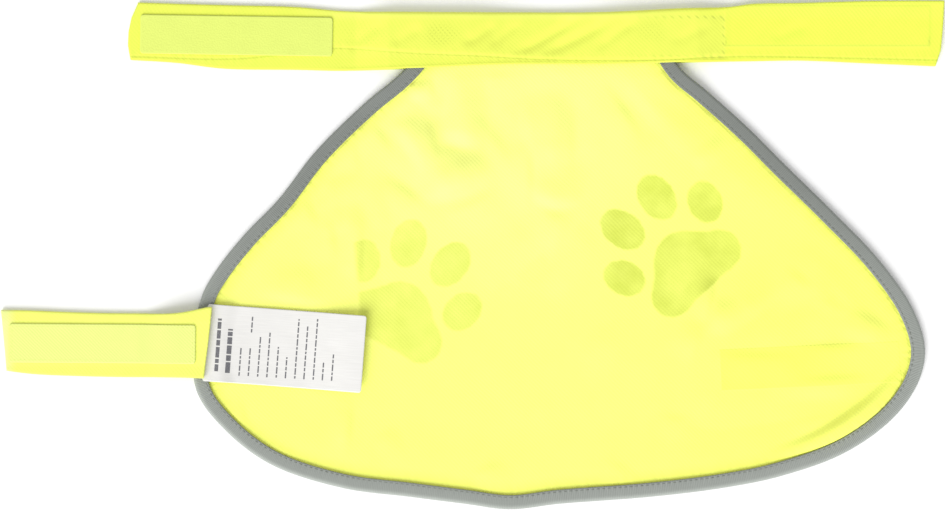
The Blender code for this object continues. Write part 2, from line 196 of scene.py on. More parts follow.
# Flat rectangles: the hook-and-loop patches, the label, and the reflective strip under the neck strap.
Rectangle = namedtuple("Rectangle", "x y length width turn")
NECK_LOOP = Rectangle(-0.1209, 0.1124, 0.0985, CLOSURE_WIDTH, math.radians(-0.9))
NECK_HOOK = Rectangle(0.1816, 0.1170, 0.1040, CLOSURE_WIDTH, 0.0)
BELLY_HOOK = Rectangle(-0.1893, -0.0454, 0.0960, CLOSURE_WIDTH, math.radians(-0.4))
BELLY_LOOP = Rectangle(0.1730, -0.0569, 0.0910, CLOSURE_WIDTH, math.radians(2.7))
LABEL = Rectangle(-0.0962, -0.0478, 0.0815, 0.0395, math.radians(-4.3))
REFLECTIVE = Rectangle(0.0290, 0.1115, 0.1990, CLOSURE_WIDTH, 0.0)
PATCH_CORNER = 0.0015
STRIP_CORNER = 0.0004
LABEL_CORNER = 0.0012

# How high the label's free end stands up, and the share of its length from which it does.
LABEL_LIFT = 0.0030
LABEL_LIFT_FROM = 0.60

# The distances over which the panel comes down: the first is where it starts, the second where it ends.
OFF_BINDING = (0.009, 0.042)
OFF_STRAP = (0.004, 0.026)
OFF_PATCH = (0.004, 0.030)
OFF_LABEL = (0.004, 0.016)
CREASED_FROM_EDGE = (0.0075, 0.0100)
CREASED_FROM_STRAP = (0.0005, 0.0080)
CREASED_FROM_LABEL = (0.0005, 0.0060)
LOOSE_FROM_EDGE = (0.0125, 0.026)
LABEL_OFF_BINDING = (0.013, 0.021)

STRAP_OFF_PATCH = (0.008, 0.022)
CEILING_MARGIN = 0.0150
CEILING_SMOOTHING = 0.0080
BELLY_CLIMB = (-0.1700, -0.1490)

# Broad places where the cloth stands off the surface. Less than SETTLE of it is pressed flat.
SETTLE = 0.0004
Swell = namedtuple("Swell", "x y reach_x reach_y height")
SWELLS = in_metres(Swell, [
    (20, 56, 56, 33, 2.6),
    (-48, 28, 33, 28, 2),
    (88, 68, 28, 26, 1.7),
    (50, -2, 36, 24, 1.4),
    (178, -10, 34, 17, 1.8),
    (188, -80, 32, 16, 1.5),
])

# The panel's main folds, the same as the model's.
Fold = namedtuple("Fold", "x0 y0 x1 y1 bow reach height")
FOLDS = in_metres(Fold, [
    (3, 77, 24, 49, 2.5, 6.5, -0.7),
    (54, 90, 53, 37, 0, 6.5, -0.8),
    (72, 88, 96, 55, 1, 6.5, -0.8),
    (41, 88, 42, 44, 0, 7, 0.9),
    (27, 37, 59, 33, -6, 7, 0.7),
    (-23, 35, 11, 48, 0, 7, 1.3),
    (-20, 77, -11, 50, 0, 6.5, -1),
    (-42, 73, -23, 42, 3, 6.5, 0.9),
    (-50, 46, -25, 27, 1, 6.5, -1.1),
    (-60, 26, -60, -17, 0, 6.5, 1.3),
    (-79, 33, -72, 8, 2, 7, 1),
    (27, 17, 3, -22, 0, 7.5, 0.7),
    (59, 17, 39, -23, 0, 8, 0.7),
    (120, -38, 146, -20, 0, 6.5, 0.7),
    (166, -13, 210, -38, 0, 7.5, 1.1),
    (213, -62, 164, -96, 2, 7, 2.2),
    (-67, -74, -67, -101, 1, 7, 0.8),
    (14, -106, -4, -114, 1, 7, 0.8),
])

# The share of a fold's length over which it rises from nothing, at each end.
FOLD_TAPER = 0.30

# Finer creases of the panel, too narrow for the solid. Each one is steep on the left of its line, from its
# start to its end, and falls off gently on the right, GENTLE_SIDE times as far. TAPER is the share of its
# length over which it rises at each end, and CREASE_DEPTH multiplies all of the heights.
GENTLE_SIDE = 6.5
TAPER = 0.48
CREASE_DEPTH = 1.5
CREASES = in_metres(Fold, [
    (-25, 35, -46, 69, -4.5, 3.6, 1.3),
    (-7, 58, -13, 100, 0, 6, 0.8),
    (7, 56, -19, 61.5, 0, 5, 2.3),
    (12, 44, -29, 27, 3, 4.2, 2.3),
    (8, 76, 8, 100, 0, 3.4, 0.4),
    (54, 92.5, 36, 95, 0, 5, 0.5),
    (31, 45, 25, 84, 1, 4, 0.9),
    (61, 29, 25, 35, 6, 3.4, 1.2),
    (-72, 22, -77, 40, 0, 4, 0.7),
    (-60, -8, -65, 29, 0, 3.4, 0.6),
    (-39, 18, -54, 13, 0, 4.2, 0.5),
    (-39, -14, -50, -8, 0, 4.8, 0.4),
    (98, 60, 73, 94, -1, 4.2, 0.7),
    (116, 44, 92, 70, 0, 4.8, 0.6),
    (120, 42, 111, 53, 0, 4, 0.7),
    (10, -31, 20, -11, 0, 4, -0.9),
    (20, -14, 46, 21, -2, 3.6, -0.7),
    (-70, -27, -116, -19, 0, 3.4, 1.1),
    (160, -16, 120, -44, 1.5, 4, 1.4),
    (122, -42, 125, -20, 0, 2.4, 0.9),
    (216, -46, 180, -35, 1, 4.4, 0.9),
    (200, -69, 150, -73, 0, 4.4, 1),
    (-34, 81, -27, 90, 0, 3, 0.5),
    (-55, 71, -39, 49, 1, 3, 0.8),
    (-40, 79, -26, 76, 0, 4.6, 0.2),
    (-27, 76, -16, 40, 1.5, 2.6, 0.4),
    (-19, 50, 7, 50, 1, 5, 0.3),
    (-2, 75, 23, 40, 2.2, 3.2, 0.4),
    (28, 60, 28.5, 20, 1.5, 2.8, 1),
    (52, 84, 48, 35, 1, 3.4, 0.5),
    (44, 62, 44, 38, 0, 4, 0.5),
    (64, 92, 89, 55, 1.5, 3, 0.6),
    (-48, 42, -19, 21, 1, 3, 0.7),
    (-61, 63, -58, 40, 0, 2.4, 0.5),
    (-87, 32, -78, 12, 0, 3, 0.8),
    (-75.5, 23, -69, -6, 1, 3, 0.8),
    (-56, 21, -57.5, -24, -1, 2, 0.8),
    (-22, 92, -20, 79, 0, 2.6, 0.8),
    (55, 26, 40, -8, -1.5, 3.4, 0.8),
    (32, 25, 52, 19, -1.5, 2.8, 0.5),
    (-17, 21, 15, 36, -1.5, 2.8, 0.6),
    (90, 91, 174, 17, -2, 8, 1.2),
    (160, -5, 176, -19, 0, 3.6, 0.8),
    (174, -18, 194, -29, 0, 4, 0.8),
    (188, -25, 219, -42, 1, 4.2, 0.8),
    (52, -49, 89, -33, 1, 6, 0.4),
    (125, -10, 120, -36, 0, 1.8, 0.9),
    (120, -34, 111, -57, 0, 2.6, 0.7),
    (145, -103, 227, -47, -9.5, 2.6, 3.1),
    (-61, -70, -64.5, -106, 0, 2, 0.7),
    (-53, -97, -38, -88, 0, 3.4, 0.4),
    (-4, -114, 18, -105, 0, 2.8, 0.5),
    (66, -103, 87, -115, 0, 3, 0.4),
    (93, -82.5, 116, -84, 0, 2.2, 0.3),
    (-119.5, -70, -115, -92, 0, 2.4, 0.4),
    (-113, -94, -83, -107, 0, 3, 0.8),
    (117, -50, 172, -51, -1, 3, 0.6),
    (164, -46.5, 208, -46.5, 0, 2.4, 0.7),
    (160, -64.5, 209, -61.5, 0, 2.2, 0.5),
    (-87, -2, -80, -21, 0, 4, 0.3),
])

# Pull creases of the neck strap's upper ply.
STRAP_CREASES = in_metres(Fold, [
    (-64, 105, -44, 119, 1, 3, -0.5),
    (-42, 106, -25, 117, 0.8, 3.2, -0.6),
    (-6, 107, 12, 119.5, -1, 2.8, -0.8),
    (8, 105, 26, 119.5, 0.8, 2.6, -0.6),
    (19, 102, 56, 122.5, -1.2, 2.8, -1.1),
    (33, 102, 74, 121.5, -1, 3, -1.1),
    (62, 103, 86, 121, 1, 2.8, -0.8),
    (100, 108, 123, 119, -0.6, 3, -0.5),
    (152, 109, 174, 119, 0.6, 3.2, -0.5),
])

# The seam that closes the neck strap over the panel. The cloth steps down by SEAM_STEP below it.
NECK_SEAM = [
    Place(NECK_STRAP_LEFT, 0.1020),
    Place(-0.1200, 0.1008),
    Place(-0.0705, 0.1062),
    Place(-0.0398, 0.1041),
    Place(-0.0218, 0.1031),
    Place(0.0049, 0.1021),
    Place(0.0346, 0.1005),
    Place(0.0962, 0.1000),
    Place(0.1311, 0.1018),
    Place(RIGHT_END, 0.1000),
]
SEAM_STEP = 0.0004


# Curves and distances in the plane of the surface

def ease(value, start, end):
    """0 up to start and 1 from end on, with a smooth rise between."""
    share = np.clip((value - start) / (end - start), 0.0, 1.0)
    return share * share * (3.0 - 2.0 * share)


def between(a, b, start, end, knot):
    """The straight blend from a at the start to b at the end."""
    share = (knot - start) / (end - start)
    return (1 - share) * a + share * b


def smooth_path(places):
    """A smooth polyline through the places: a centripetal Catmull-Rom curve."""
    points = np.array(places, float)
    before = 2 * points[0] - points[1]
    after = 2 * points[-1] - points[-2]
    points = np.vstack([before, points, after])
    path = []
    for p0, p1, p2, p3 in zip(points, points[1:], points[2:], points[3:]):
        spans = [math.sqrt(math.dist(a, b)) for a, b in ((p0, p1), (p1, p2), (p2, p3))]
        k0, k1, k2, k3 = np.cumsum([0.0] + spans)
        for knot in np.linspace(k1, k2, STEPS_BETWEEN_PLACES, endpoint=False):
            a1 = between(p0, p1, k0, k1, knot)
            a2 = between(p1, p2, k1, k2, knot)
            a3 = between(p2, p3, k2, k3, knot)
            b1 = between(a1, a2, k0, k2, knot)
            b2 = between(a2, a3, k1, k3, knot)
            path.append(between(b1, b2, k1, k2, knot))
    path.append(points[-2])
    return np.array(path)


def run_of(path):
    """The length run at each point of a polyline."""
    steps = np.linalg.norm(np.diff(path, axis=0), axis=1)
    return np.concatenate([[0.0], np.cumsum(steps)])


def along(path, shares, values=None):
    """The points of a polyline, or the values given at its points, at these shares of its length."""
    run = run_of(path)
    wanted = np.asarray(shares) * run[-1]
    columns = path if values is None else values
    return np.column_stack([np.interp(wanted, run, column) for column in columns.T])


def inward(path):
    """Unit normals to the left of a path, which is the inside of the vest's outline."""
    run = np.gradient(path, axis=0)
    run /= np.linalg.norm(run, axis=1)[:, None]
    return np.column_stack([-run[:, 1], run[:, 0]])


def nearest_on(path, x, y):
    """How far each point is from a polyline, and the length run at the nearest place on it."""
    points = np.column_stack([np.ravel(x), np.ravel(y)])
    nearest = np.full(len(points), np.inf)
    place = np.zeros(len(points))
    run_before = run_of(path)
    for start, end, before in zip(path[:-1], path[1:], run_before):
        run = end - start
        off_start = points - start
        share = np.clip(off_start @ run / (run @ run), 0.0, 1.0)
        away = np.linalg.norm(off_start - share[:, None] * run, axis=1)
        closer = away < nearest
        nearest = np.where(closer, away, nearest)
        place = np.where(closer, before + share * np.linalg.norm(run), place)
    return nearest.reshape(np.shape(x)), place.reshape(np.shape(x))


def distance_to(path, x, y):
    return nearest_on(path, x, y)[0]


def distance_outside(rectangle, x, y):
    """How far each point is outside a flat rectangle, and 0 on it."""
    cos, sin = math.cos(rectangle.turn), math.sin(rectangle.turn)
    lengthwise = (x - rectangle.x) * cos + (y - rectangle.y) * sin
    crosswise = (y - rectangle.y) * cos - (x - rectangle.x) * sin
    past_end = np.maximum(np.abs(lengthwise) - rectangle.length / 2, 0.0)
    past_side = np.maximum(np.abs(crosswise) - rectangle.width / 2, 0.0)
    return np.hypot(past_end, past_side)


OUTLINE = smooth_path(LEFT_SIDE + HEM + RIGHT_SIDE)
LEFT_CORNER = STEPS_BETWEEN_PLACES * (len(LEFT_SIDE) - 1)
RIGHT_CORNER = LEFT_CORNER + STEPS_BETWEEN_PLACES * len(HEM)
NECK_TOP_PATH = smooth_path([(row.x, row.top) for row in NECK_STRAP])
NECK_BOTTOM_PATH = smooth_path([(row.x, row.bottom) for row in NECK_STRAP])
BELLY_TOP_PATH = smooth_path([(row.x, row.top) for row in BELLY_STRAP])
BELLY_BOTTOM_PATH = smooth_path([(row.x, row.bottom) for row in BELLY_STRAP])
NECK_SEAM_PATH = smooth_path(NECK_SEAM)


def height_on(path, x):
    return np.interp(x, path[:, 0], path[:, 1])


def area_inside(path):
    x, y = path.T
    return abs(np.dot(x, np.roll(y, 1)) - np.dot(y, np.roll(x, 1))) / 2


# The back panel

def fold_line(fold):
    """A crease's line: a parabola from end to end, bowed to its left."""
    start = np.array([fold.x0, fold.y0])
    run = np.array([fold.x1, fold.y1]) - start
    side = np.array([-run[1], run[0]]) / np.linalg.norm(run)
    shares = np.linspace(0.0, 1.0, STEPS_BETWEEN_PLACES + 1)[:, None]
    return start + shares * run + 4 * fold.bow * shares * (1 - shares) * side


def tapered(line, x, y):
    """1 beside the middle of a line, falling to 0 at both of its ends."""
    run = line[-1] - line[0]
    share = ((x - line[0][0]) * run[0] + (y - line[0][1]) * run[1]) / (run @ run)
    return ease(share, 0.0, FOLD_TAPER) * ease(1.0 - share, 0.0, FOLD_TAPER)


def close_to(line, reach, x, y):
    """Which points are in the box round a line, this much larger on each side."""
    low, high = line.min(axis=0) - reach, line.max(axis=0) + reach
    return (x > low[0]) & (x < high[0]) & (y > low[1]) & (y < high[1])


def raised_by(folds, x, y):
    """The sum of the folds' round profiles at each point."""
    lift = np.zeros_like(x)
    for fold in folds:
        line = fold_line(fold)
        near = close_to(line, 3 * fold.reach, x, y)
        away = distance_to(line, x[near], y[near]) / fold.reach
        lift[near] += fold.height * tapered(line, x[near], y[near]) * np.exp(-(away**2))
    return lift


def creased_by(creases, x, y):
    """The sum of the creases' lopsided profiles, which taper off at both ends of each crease."""
    lift = np.zeros_like(x)
    for crease in creases:
        run = np.array([crease.x1 - crease.x0, crease.y1 - crease.y0])
        length = np.linalg.norm(run)
        share = ((x - crease.x0) * run[0] + (y - crease.y0) * run[1]) / length**2
        left = (run[0] * (y - crease.y0) - run[1] * (x - crease.x0)) / length
        across = (left - 4 * crease.bow * share * (1 - share)) / crease.reach
        height = CREASE_DEPTH * crease.height * ease(share, 0.0, TAPER) * ease(1.0 - share, 0.0, TAPER)
        lift += height * ease(across, 1.0, -1.0) * ease(across, -GENTLE_SIDE, -1.0)
    return lift


def looseness(x, y):
    """How high the swells and folds lift the cloth, where nothing holds it."""
    lift = raised_by(FOLDS, x, y) - SETTLE
    for swell in SWELLS:
        away = ((x - swell.x) / swell.reach_x) ** 2 + ((y - swell.y) / swell.reach_y) ** 2
        lift += swell.height * np.exp(-away)
    lift = np.maximum(lift, 0.0)
    return lift**2 / (lift + SETTLE)


def panel_under(x, y):
    """The height of the panel's underside above the surface."""
    edge = distance_to(OUTLINE, x, y)
    below_strap = height_on(NECK_BOTTOM_PATH, x) - y
    on_binding = 1.0 - ease(edge, *OFF_BINDING)
    on_patch = 1.0 - ease(distance_outside(BELLY_LOOP, x, y), *OFF_PATCH)
    in_strap = 1.0 - ease(below_strap, *OFF_STRAP)
    carried = LAYER * (np.maximum(on_binding, on_patch) + in_strap)
    free = ease(edge, *LOOSE_FROM_EDGE) * (1.0 - in_strap) * (1.0 - on_patch)
    free = free * ease(distance_outside(LABEL, x, y), *OFF_LABEL)
    creased = ease(edge, *CREASED_FROM_EDGE) * ease(below_strap, *CREASED_FROM_STRAP)
    creased = creased * ease(distance_outside(LABEL, x, y), *CREASED_FROM_LABEL)
    lift = looseness(x, y) * free + creased_by(CREASES, x, y) * creased
    return carried + np.maximum(lift, 0.0)


def panel_place(u, v):
    """The panel's underside, cut a little inside the vest's edge: v runs from the hem to the neck edge."""
    cut = OUTLINE + PANEL_INSET * inward(OUTLINE)
    left = cut[: LEFT_CORNER + 1]
    hem = cut[LEFT_CORNER : RIGHT_CORNER + 1]
    right = cut[RIGHT_CORNER:]
    neck = np.array([left[0], right[-1]])
    from_hem, from_neck = along(hem, u), along(neck, u)
    from_left, from_right = along(left[::-1], v), along(right, v)
    u, v = u[:, None], v[:, None]
    corners = (1 - u) * (1 - v) * hem[0] + u * (1 - v) * hem[-1] + (1 - u) * v * neck[0] + u * v * neck[1]
    flat = (1 - v) * from_hem + v * from_neck + (1 - u) * from_left + u * from_right - corners
    x, y = flat.T
    return np.column_stack([x, y, panel_under(x, y)])


def closer_at_ends(share):
    """Shares of a length, spaced closer together towards both ends."""
    return share - END_PULL * np.sin(2 * math.pi * share) / (2 * math.pi)


# Strips folded lengthwise

def fold_section(v, first, last):
    """Where v lies on a folded strip: its share of a flat ply from the open edge, and its turn round.
    The first ply takes the share first of the rows, and the last ply the share last."""
    flat = np.minimum(np.minimum(v / first, (1.0 - v) / last), 1.0)
    turn = math.pi * np.clip((v - first) / (1.0 - first - last), 0.0, 1.0)
    return flat, turn


def across_fold(v, first, last, width, radius):
    """How far across the unfolded strip v lies."""
    flat, turn = fold_section(v, first, last)
    over = turn >= math.pi
    return np.where(over, 2 * width - width * flat, width * flat) + radius * turn


BINDING_SHARES = (0.28, 0.40)
BINDING_RADIUS = PLY / 2 + GAP
BINDING_STITCH_DEPTH = 0.0063
BINDING_FLAT_PLY = BINDING_WIDTH - 1.5 * PLY - GAP
BINDING_FOLD_LINE = BINDING_FLAT_PLY + math.pi * BINDING_RADIUS / 2


def binding_place(u, v):
    """The tape's inner face: under the panel, round its edge and back over it."""
    path = along(OUTLINE, u)
    side = along(OUTLINE, u, inward(OUTLINE))
    side /= np.linalg.norm(side, axis=1)[:, None]
    flat, turn = fold_section(v, *BINDING_SHARES)
    depth = BINDING_WIDTH - flat * (BINDING_WIDTH - PLY - BINDING_RADIUS) - BINDING_RADIUS * np.sin(turn)
    place = path + depth[:, None] * side
    x, y = (path + np.maximum(depth, PANEL_INSET)[:, None] * side).T
    middle = panel_under(x, y) + PLY / 2
    return np.column_stack([place, middle - BINDING_RADIUS * np.cos(turn)])


STRAP_SHARES = (0.58, 0.26)
STRAP_BULGE = 0.0008

# The shares of a strap's ply over which its relief comes up, from the open edge and from the fold.
RELIEF_FROM_EDGE = 0.06
RELIEF_FROM_FOLD = 0.1

# How many places the height of the neck strap's upper ply is worked out at, along it and across it.
CEILING_PLACES = (420, 12)

# Where the seam of the neck strap starts and ends along it, and over what height its step goes down.
SEAM_STARTS = (-0.075, -0.060)
SEAM_STOPS = (0.135, 0.125)
SEAM_SLOPE = (-0.0004, 0.0012)

# How the lower patch shows in the upper ply: the drop beyond its rim, and where along the strap it starts.
RIM_DROP = 0.0002
RIM_SLOPE = (0.0, 0.0016)
RIM_STARTS = (0.118, 0.128)


def flat_cloth(x, y):
    return np.zeros_like(x)


def strap_place(u, v, edges, ends, floor, ceiling, relief):
    """A strap's inner face: the upper ply, the fold at its top edge, then the lower ply."""
    flat, turn = fold_section(v, *STRAP_SHARES)
    shares = np.linspace(0.0, 1.0, len(ends[1]))
    start = ends[0] + np.interp(flat, shares, ends[1])
    stop = ends[2] + np.interp(flat, shares, ends[3])
    x = start + u * (stop - start)
    low, high = floor(x) + PLY, ceiling(x)
    radius = (high - low) / 2
    bulge = np.minimum(radius, STRAP_BULGE)
    top, bottom = height_on(edges[0], x), height_on(edges[1], x)
    crease = top - PLY - bulge
    y = bottom + flat * (crease - bottom) + bulge * np.sin(turn)
    z = (low + high) / 2 + radius * np.cos(turn)
    relieved = (turn == 0.0) * ease(flat, 0.0, RELIEF_FROM_EDGE) * ease(1 - flat, 0.0, RELIEF_FROM_FOLD)
    return np.column_stack([x, y, z + relief(x, y) * relieved])


def neck_floor(x):
    """The underside of the neck strap's lower ply: on the surface, then up on the hook patch."""
    before_patch = NECK_HOOK.x - NECK_HOOK.length / 2 - x
    return LAYER * (1.0 - ease(before_patch, *STRAP_OFF_PATCH))


def tucked_top(x, y):
    """The height that the neck strap's upper ply has to clear: the panel, or the binding on it."""
    left, right = OUTLINE[: LEFT_CORNER + 1], OUTLINE[RIGHT_CORNER:]
    left_x = np.interp(y, left[::-1, 1], left[::-1, 0])
    right_x = np.interp(y, right[:, 1], right[:, 0])
    inside = (x > left_x - GAP) & (x < right_x + GAP)
    bound = distance_to(OUTLINE, x, y) < BINDING_WIDTH + GAP
    panel_top = panel_under(x, y) + LAYER
    return np.where(inside, panel_top + np.where(bound, LAYER, 0.0), 0.0)


def ceiling_table():
    """The underside of the neck strap's upper ply, at places along it."""
    places = np.linspace(NECK_STRAP_LEFT, RIGHT_END, CEILING_PLACES[0])
    spacing = places[1] - places[0]
    across = np.linspace(min(NECK_BOTTOM_PATH[:, 1]), NECK_EDGE_Y, CEILING_PLACES[1])
    grid_x, grid_y = np.meshgrid(places, across, indexing="ij")
    needed = np.maximum(tucked_top(grid_x, grid_y).max(axis=1), neck_floor(places) + LAYER)
    margin = round(CEILING_MARGIN / spacing)
    windows = [needed[max(0, i - margin) : i + margin + 1] for i in range(len(places))]
    widened = np.array([window.max() for window in windows])
    reach = round(CEILING_SMOOTHING / spacing)
    kernel = np.ones(2 * reach + 1) / (2 * reach + 1)
    smooth = np.convolve(np.pad(widened, reach, mode="edge"), kernel, mode="valid")
    return np.column_stack([places, smooth])


NECK_CEILING = ceiling_table()


def neck_ceiling(x):
    return height_on(NECK_CEILING, x)


def neck_relief(x, y):
    """The pull creases, the step at the seam, and the lower patch's edge, on the upper ply."""
    above_seam = y - height_on(NECK_SEAM_PATH, x)
    under_cloth = ease(x, *SEAM_STARTS) * ease(x, *SEAM_STOPS)
    step = SEAM_STEP * (ease(above_seam, *SEAM_SLOPE) - 1.0) * under_cloth
    off_patch = ease(distance_outside(NECK_HOOK, x, y), *RIM_SLOPE) * ease(x, *RIM_STARTS)
    return raised_by(STRAP_CREASES, x, y) + step - RIM_DROP * off_patch


def neck_strap_place(u, v):
    edges = (NECK_TOP_PATH, NECK_BOTTOM_PATH)
    ends = (NECK_STRAP_LEFT, NECK_LEFT_CUT, RIGHT_END, NECK_RIGHT_CUT)
    return strap_place(u, v, edges, ends, neck_floor, neck_ceiling, neck_relief)


def belly_floor(x):
    """The underside of the belly strap's lower ply: on the surface, then over binding and label."""
    return 4 * LAYER * ease(x, *BELLY_CLIMB)


def belly_ceiling(x):
    return belly_floor(x) + LAYER


def belly_strap_place(u, v):
    edges = (BELLY_TOP_PATH, BELLY_BOTTOM_PATH)
    ends = (LEFT_END, BELLY_LEFT_CUT, BELLY_STRAP_RIGHT, BELLY_RIGHT_CUT)
    return strap_place(u, v, edges, ends, belly_floor, belly_ceiling, flat_cloth)


# Patches, strip and label

def on_rectangle(rectangle, lengthwise, crosswise):
    """Where these distances along and across a rectangle from its middle lie in the plane."""
    cos, sin = math.cos(rectangle.turn), math.sin(rectangle.turn)
    x = rectangle.x + lengthwise * cos - crosswise * sin
    y = rectangle.y + lengthwise * sin + crosswise * cos
    return x, y


def rectangle_place(rectangle, under, corner):
    """The underside of a flat rectangle with rounded corners, where under(u, x, y) gives its height."""

    def place(u, v):
        lengthwise = (u - 0.5) * rectangle.length
        past = np.maximum(np.abs(lengthwise) - (rectangle.length / 2 - corner), 0.0)
        rounding = corner - np.sqrt(np.maximum(corner**2 - past**2, 0.0))
        x, y = on_rectangle(rectangle, lengthwise, (v - 0.5) * (rectangle.width - 2 * rounding))
        return np.column_stack([x, y, under(u, x, y)])

    return place


def rectangle_cut(rectangle):
    """The places on the cut cloth of a flat rectangle."""

    def cut(u, v, points):
        return np.column_stack([u * rectangle.length, v * rectangle.width])

    return cut


def on_neck_strap(u, x, y):
    return neck_ceiling(x) + LAYER


def on_belly_strap(u, x, y):
    return belly_ceiling(x) + LAYER


def on_surface(u, x, y):
    return np.zeros_like(x)


def on_panel(u, x, y):
    """The label lies on the panel, steps up on the binding, and its free end stands up."""
    over_binding = 1.0 - ease(distance_to(OUTLINE, x, y), *LABEL_OFF_BINDING)
    return panel_under(x, y) + LAYER + LAYER * over_binding + LABEL_LIFT * ease(u, LABEL_LIFT_FROM, 1.0)


# Cloth meshes

def put_in_scene(name, data):
    obj = bpy.data.objects.new(name, data)
    bpy.context.scene.collection.objects.link(obj)
    return obj


def new_piece(name, shape, looks):
    """The object that a finished shape becomes, with its materials."""
    mesh = bpy.data.meshes.new(name)
    shape.to_mesh(mesh)
    shape.free()
    for look in looks:
        mesh.materials.append(look)
    return put_in_scene(name, mesh)


def add_map(mesh, name, flat):
    """A UV map in metres: flat holds a place on the cut cloth for each vertex."""
    corners = np.zeros(len(mesh.loops), int)
    mesh.loops.foreach_get("vertex_index", corners)
    layer = mesh.uv_layers.new(name=name)
    layer.data.foreach_set("uv", flat[corners].ravel())


def add_cloth(name, counts, place, cut, thickness, looks, spacing=None, seam=None):
    """One sheet of cloth: a flat grid moved to its place, with thickness in the middle of its solid's ply.
    cut(u, v, points) gives the place on the cut cloth, and seam(points) the run along a seam and the way
    from it."""
    grid = bmesh.new()
    bmesh.ops.create_grid(grid, x_segments=counts[0], y_segments=counts[1], size=0.5)
    u, v = np.array([vert.co[:2] for vert in grid.verts]).T + 0.5
    if spacing:
        u, v = spacing(u), spacing(v)
    points = place(u, v)
    for vert, point in zip(grid.verts, points):
        vert.co = point
    obj = new_piece(name, grid, looks)
    obj.data.shade_smooth()
    add_map(obj.data, "cut", cut(u, v, points))
    if seam:
        add_map(obj.data, "seam", seam(points))
    thicken = obj.modifiers.new("ply", "SOLIDIFY")
    thicken.thickness = thickness
    thicken.offset = PLY / thickness
    if len(looks) > 1:
        thicken.material_offset = 1
        thicken.material_offset_rim = 0
    return obj


def dress(obj, node):
    """The piece is attached to the root, and the model's part that it stands for, if any, is hidden."""
    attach(obj, "root")
    if node:
        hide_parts(node)


def stitch_row(name, line, pitch, size, look):
    """A row of thread along a line: each stitch is a long round bead that sinks into the cloth at its ends.
    size is a stitch's length, width and height."""
    run = run_of(line)
    count = max(int(run[-1] / pitch), 1)
    shares = (np.arange(count) + 0.5) / count
    middles = along(line, shares)
    heads = along(line, np.clip(shares + STITCH_HEAD * pitch / run[-1], 0.0, 1.0))
    thread = bmesh.new()
    for index, (middle, head) in enumerate(zip(middles, heads)):
        forward = Vector(head - middle).normalized()
        side = Vector((0, 0, 1)).cross(forward).normalized()
        top = forward.cross(side)
        turned = Matrix((forward, side, top)).transposed().to_4x4()
        length = size[0] * (1.0 + STITCH_WOBBLE * math.sin(STITCH_BEAT * index))
        shape = Matrix.Diagonal((length / 2, size[1] / 2, size[2] / 2, 1.0))
        matrix = Matrix.Translation(Vector(middle)) @ turned @ shape
        bmesh.ops.create_uvsphere(thread, u_segments=6, v_segments=5, radius=1.0, matrix=matrix)
    stitches = new_piece(name, thread, [look])
    stitches.data.shade_smooth()
    dress(stitches, None)


# Shader nodes

FLOAT, VECTOR = "NodeSocketFloat", "NodeSocketVector"

# How far noise moves a pattern.
WAVER = 0.0016


class Bench:
    """Lays nodes on one shader tree and wires them."""

    def __init__(self, tree):
        self.tree = tree

    def put(self, kind, feeds=None, **settings):
        """Adds a node. Each feed is a value or the output that feeds that input."""
        node = self.tree.nodes.new(kind)
        for name, value in settings.items():
            setattr(node, name, value)
        for socket, value in (feeds or {}).items():
            if isinstance(value, bpy.types.NodeSocket):
                self.tree.links.new(value, node.inputs[socket])
            else:
                node.inputs[socket].default_value = value
        return node

    def math(self, operation, *values):
        return self.put("ShaderNodeMath", dict(enumerate(values)), operation=operation).outputs[0]

    def times(self, first, second):
        return self.math("MULTIPLY", first, second)

    def vector(self, operation, *values):
        node = self.put("ShaderNodeVectorMath", dict(enumerate(values)), operation=operation)
        return node.outputs["Value" if operation == "LENGTH" else "Vector"]

    def scaled(self, vector, scale):
        node = self.put("ShaderNodeVectorMath", {0: vector, "Scale": scale}, operation="SCALE")
        return node.outputs["Vector"]

    def part(self, vector, axis):
        return self.put("ShaderNodeSeparateXYZ", {0: vector}).outputs[axis]

    def local(self, vector, x, y, turn, scale=(1.0, 1.0, 1.0)):
        """The vector seen from a place, a turn and a scale."""
        feeds = {"Vector": vector, "Location": (x, y, 0.0), "Rotation": (0.0, 0.0, turn), "Scale": scale}
        return self.put("ShaderNodeMapping", feeds, vector_type="TEXTURE").outputs[0]

    def rise(self, value, start, end, low=0.0, high=1.0):
        """A smooth step from low to high as value goes from start to end."""
        feeds = {0: value, 1: start, 2: end, 3: low, 4: high}
        return self.put("ShaderNodeMapRange", feeds, interpolation_type="SMOOTHSTEP").outputs[0]

    def mix(self, share, first, second, blend="MIX"):
        feeds = {0: share, 6: first, 7: second}
        return self.put("ShaderNodeMix", feeds, data_type="RGBA", blend_type=blend).outputs[2]

    def shaded(self, colour, shade):
        """The colour times a shade, which is 1 on average."""
        return self.mix(1.0, colour, shade, "MULTIPLY")

    def noise(self, vector, scale, detail=2.0):
        feeds = {"Vector": vector, "Scale": scale, "Detail": detail}
        return self.put("ShaderNodeTexNoise", feeds)

    def group(self, group, **feeds):
        return self.put("ShaderNodeGroup", feeds, node_tree=group).outputs

    def map(self, name):
        return self.put("ShaderNodeUVMap", uv_map=name).outputs[0]

    def object_place(self):
        return self.put("ShaderNodeTexCoord").outputs["Object"]


def new_group(name, inputs, outputs):
    """A shader group with these sockets: its bench, what comes in, and what goes out."""
    tree = bpy.data.node_groups.new(name, "ShaderNodeTree")
    for label, kind in inputs.items():
        tree.interface.new_socket(name=label, in_out="INPUT", socket_type=kind)
    for label, kind in outputs.items():
        tree.interface.new_socket(name=label, in_out="OUTPUT", socket_type=kind)
    bench = Bench(tree)
    return bench, bench.put("NodeGroupInput").outputs, bench.put("NodeGroupOutput").inputs


def wire(bench, output, target):
    bench.tree.links.new(output, target)


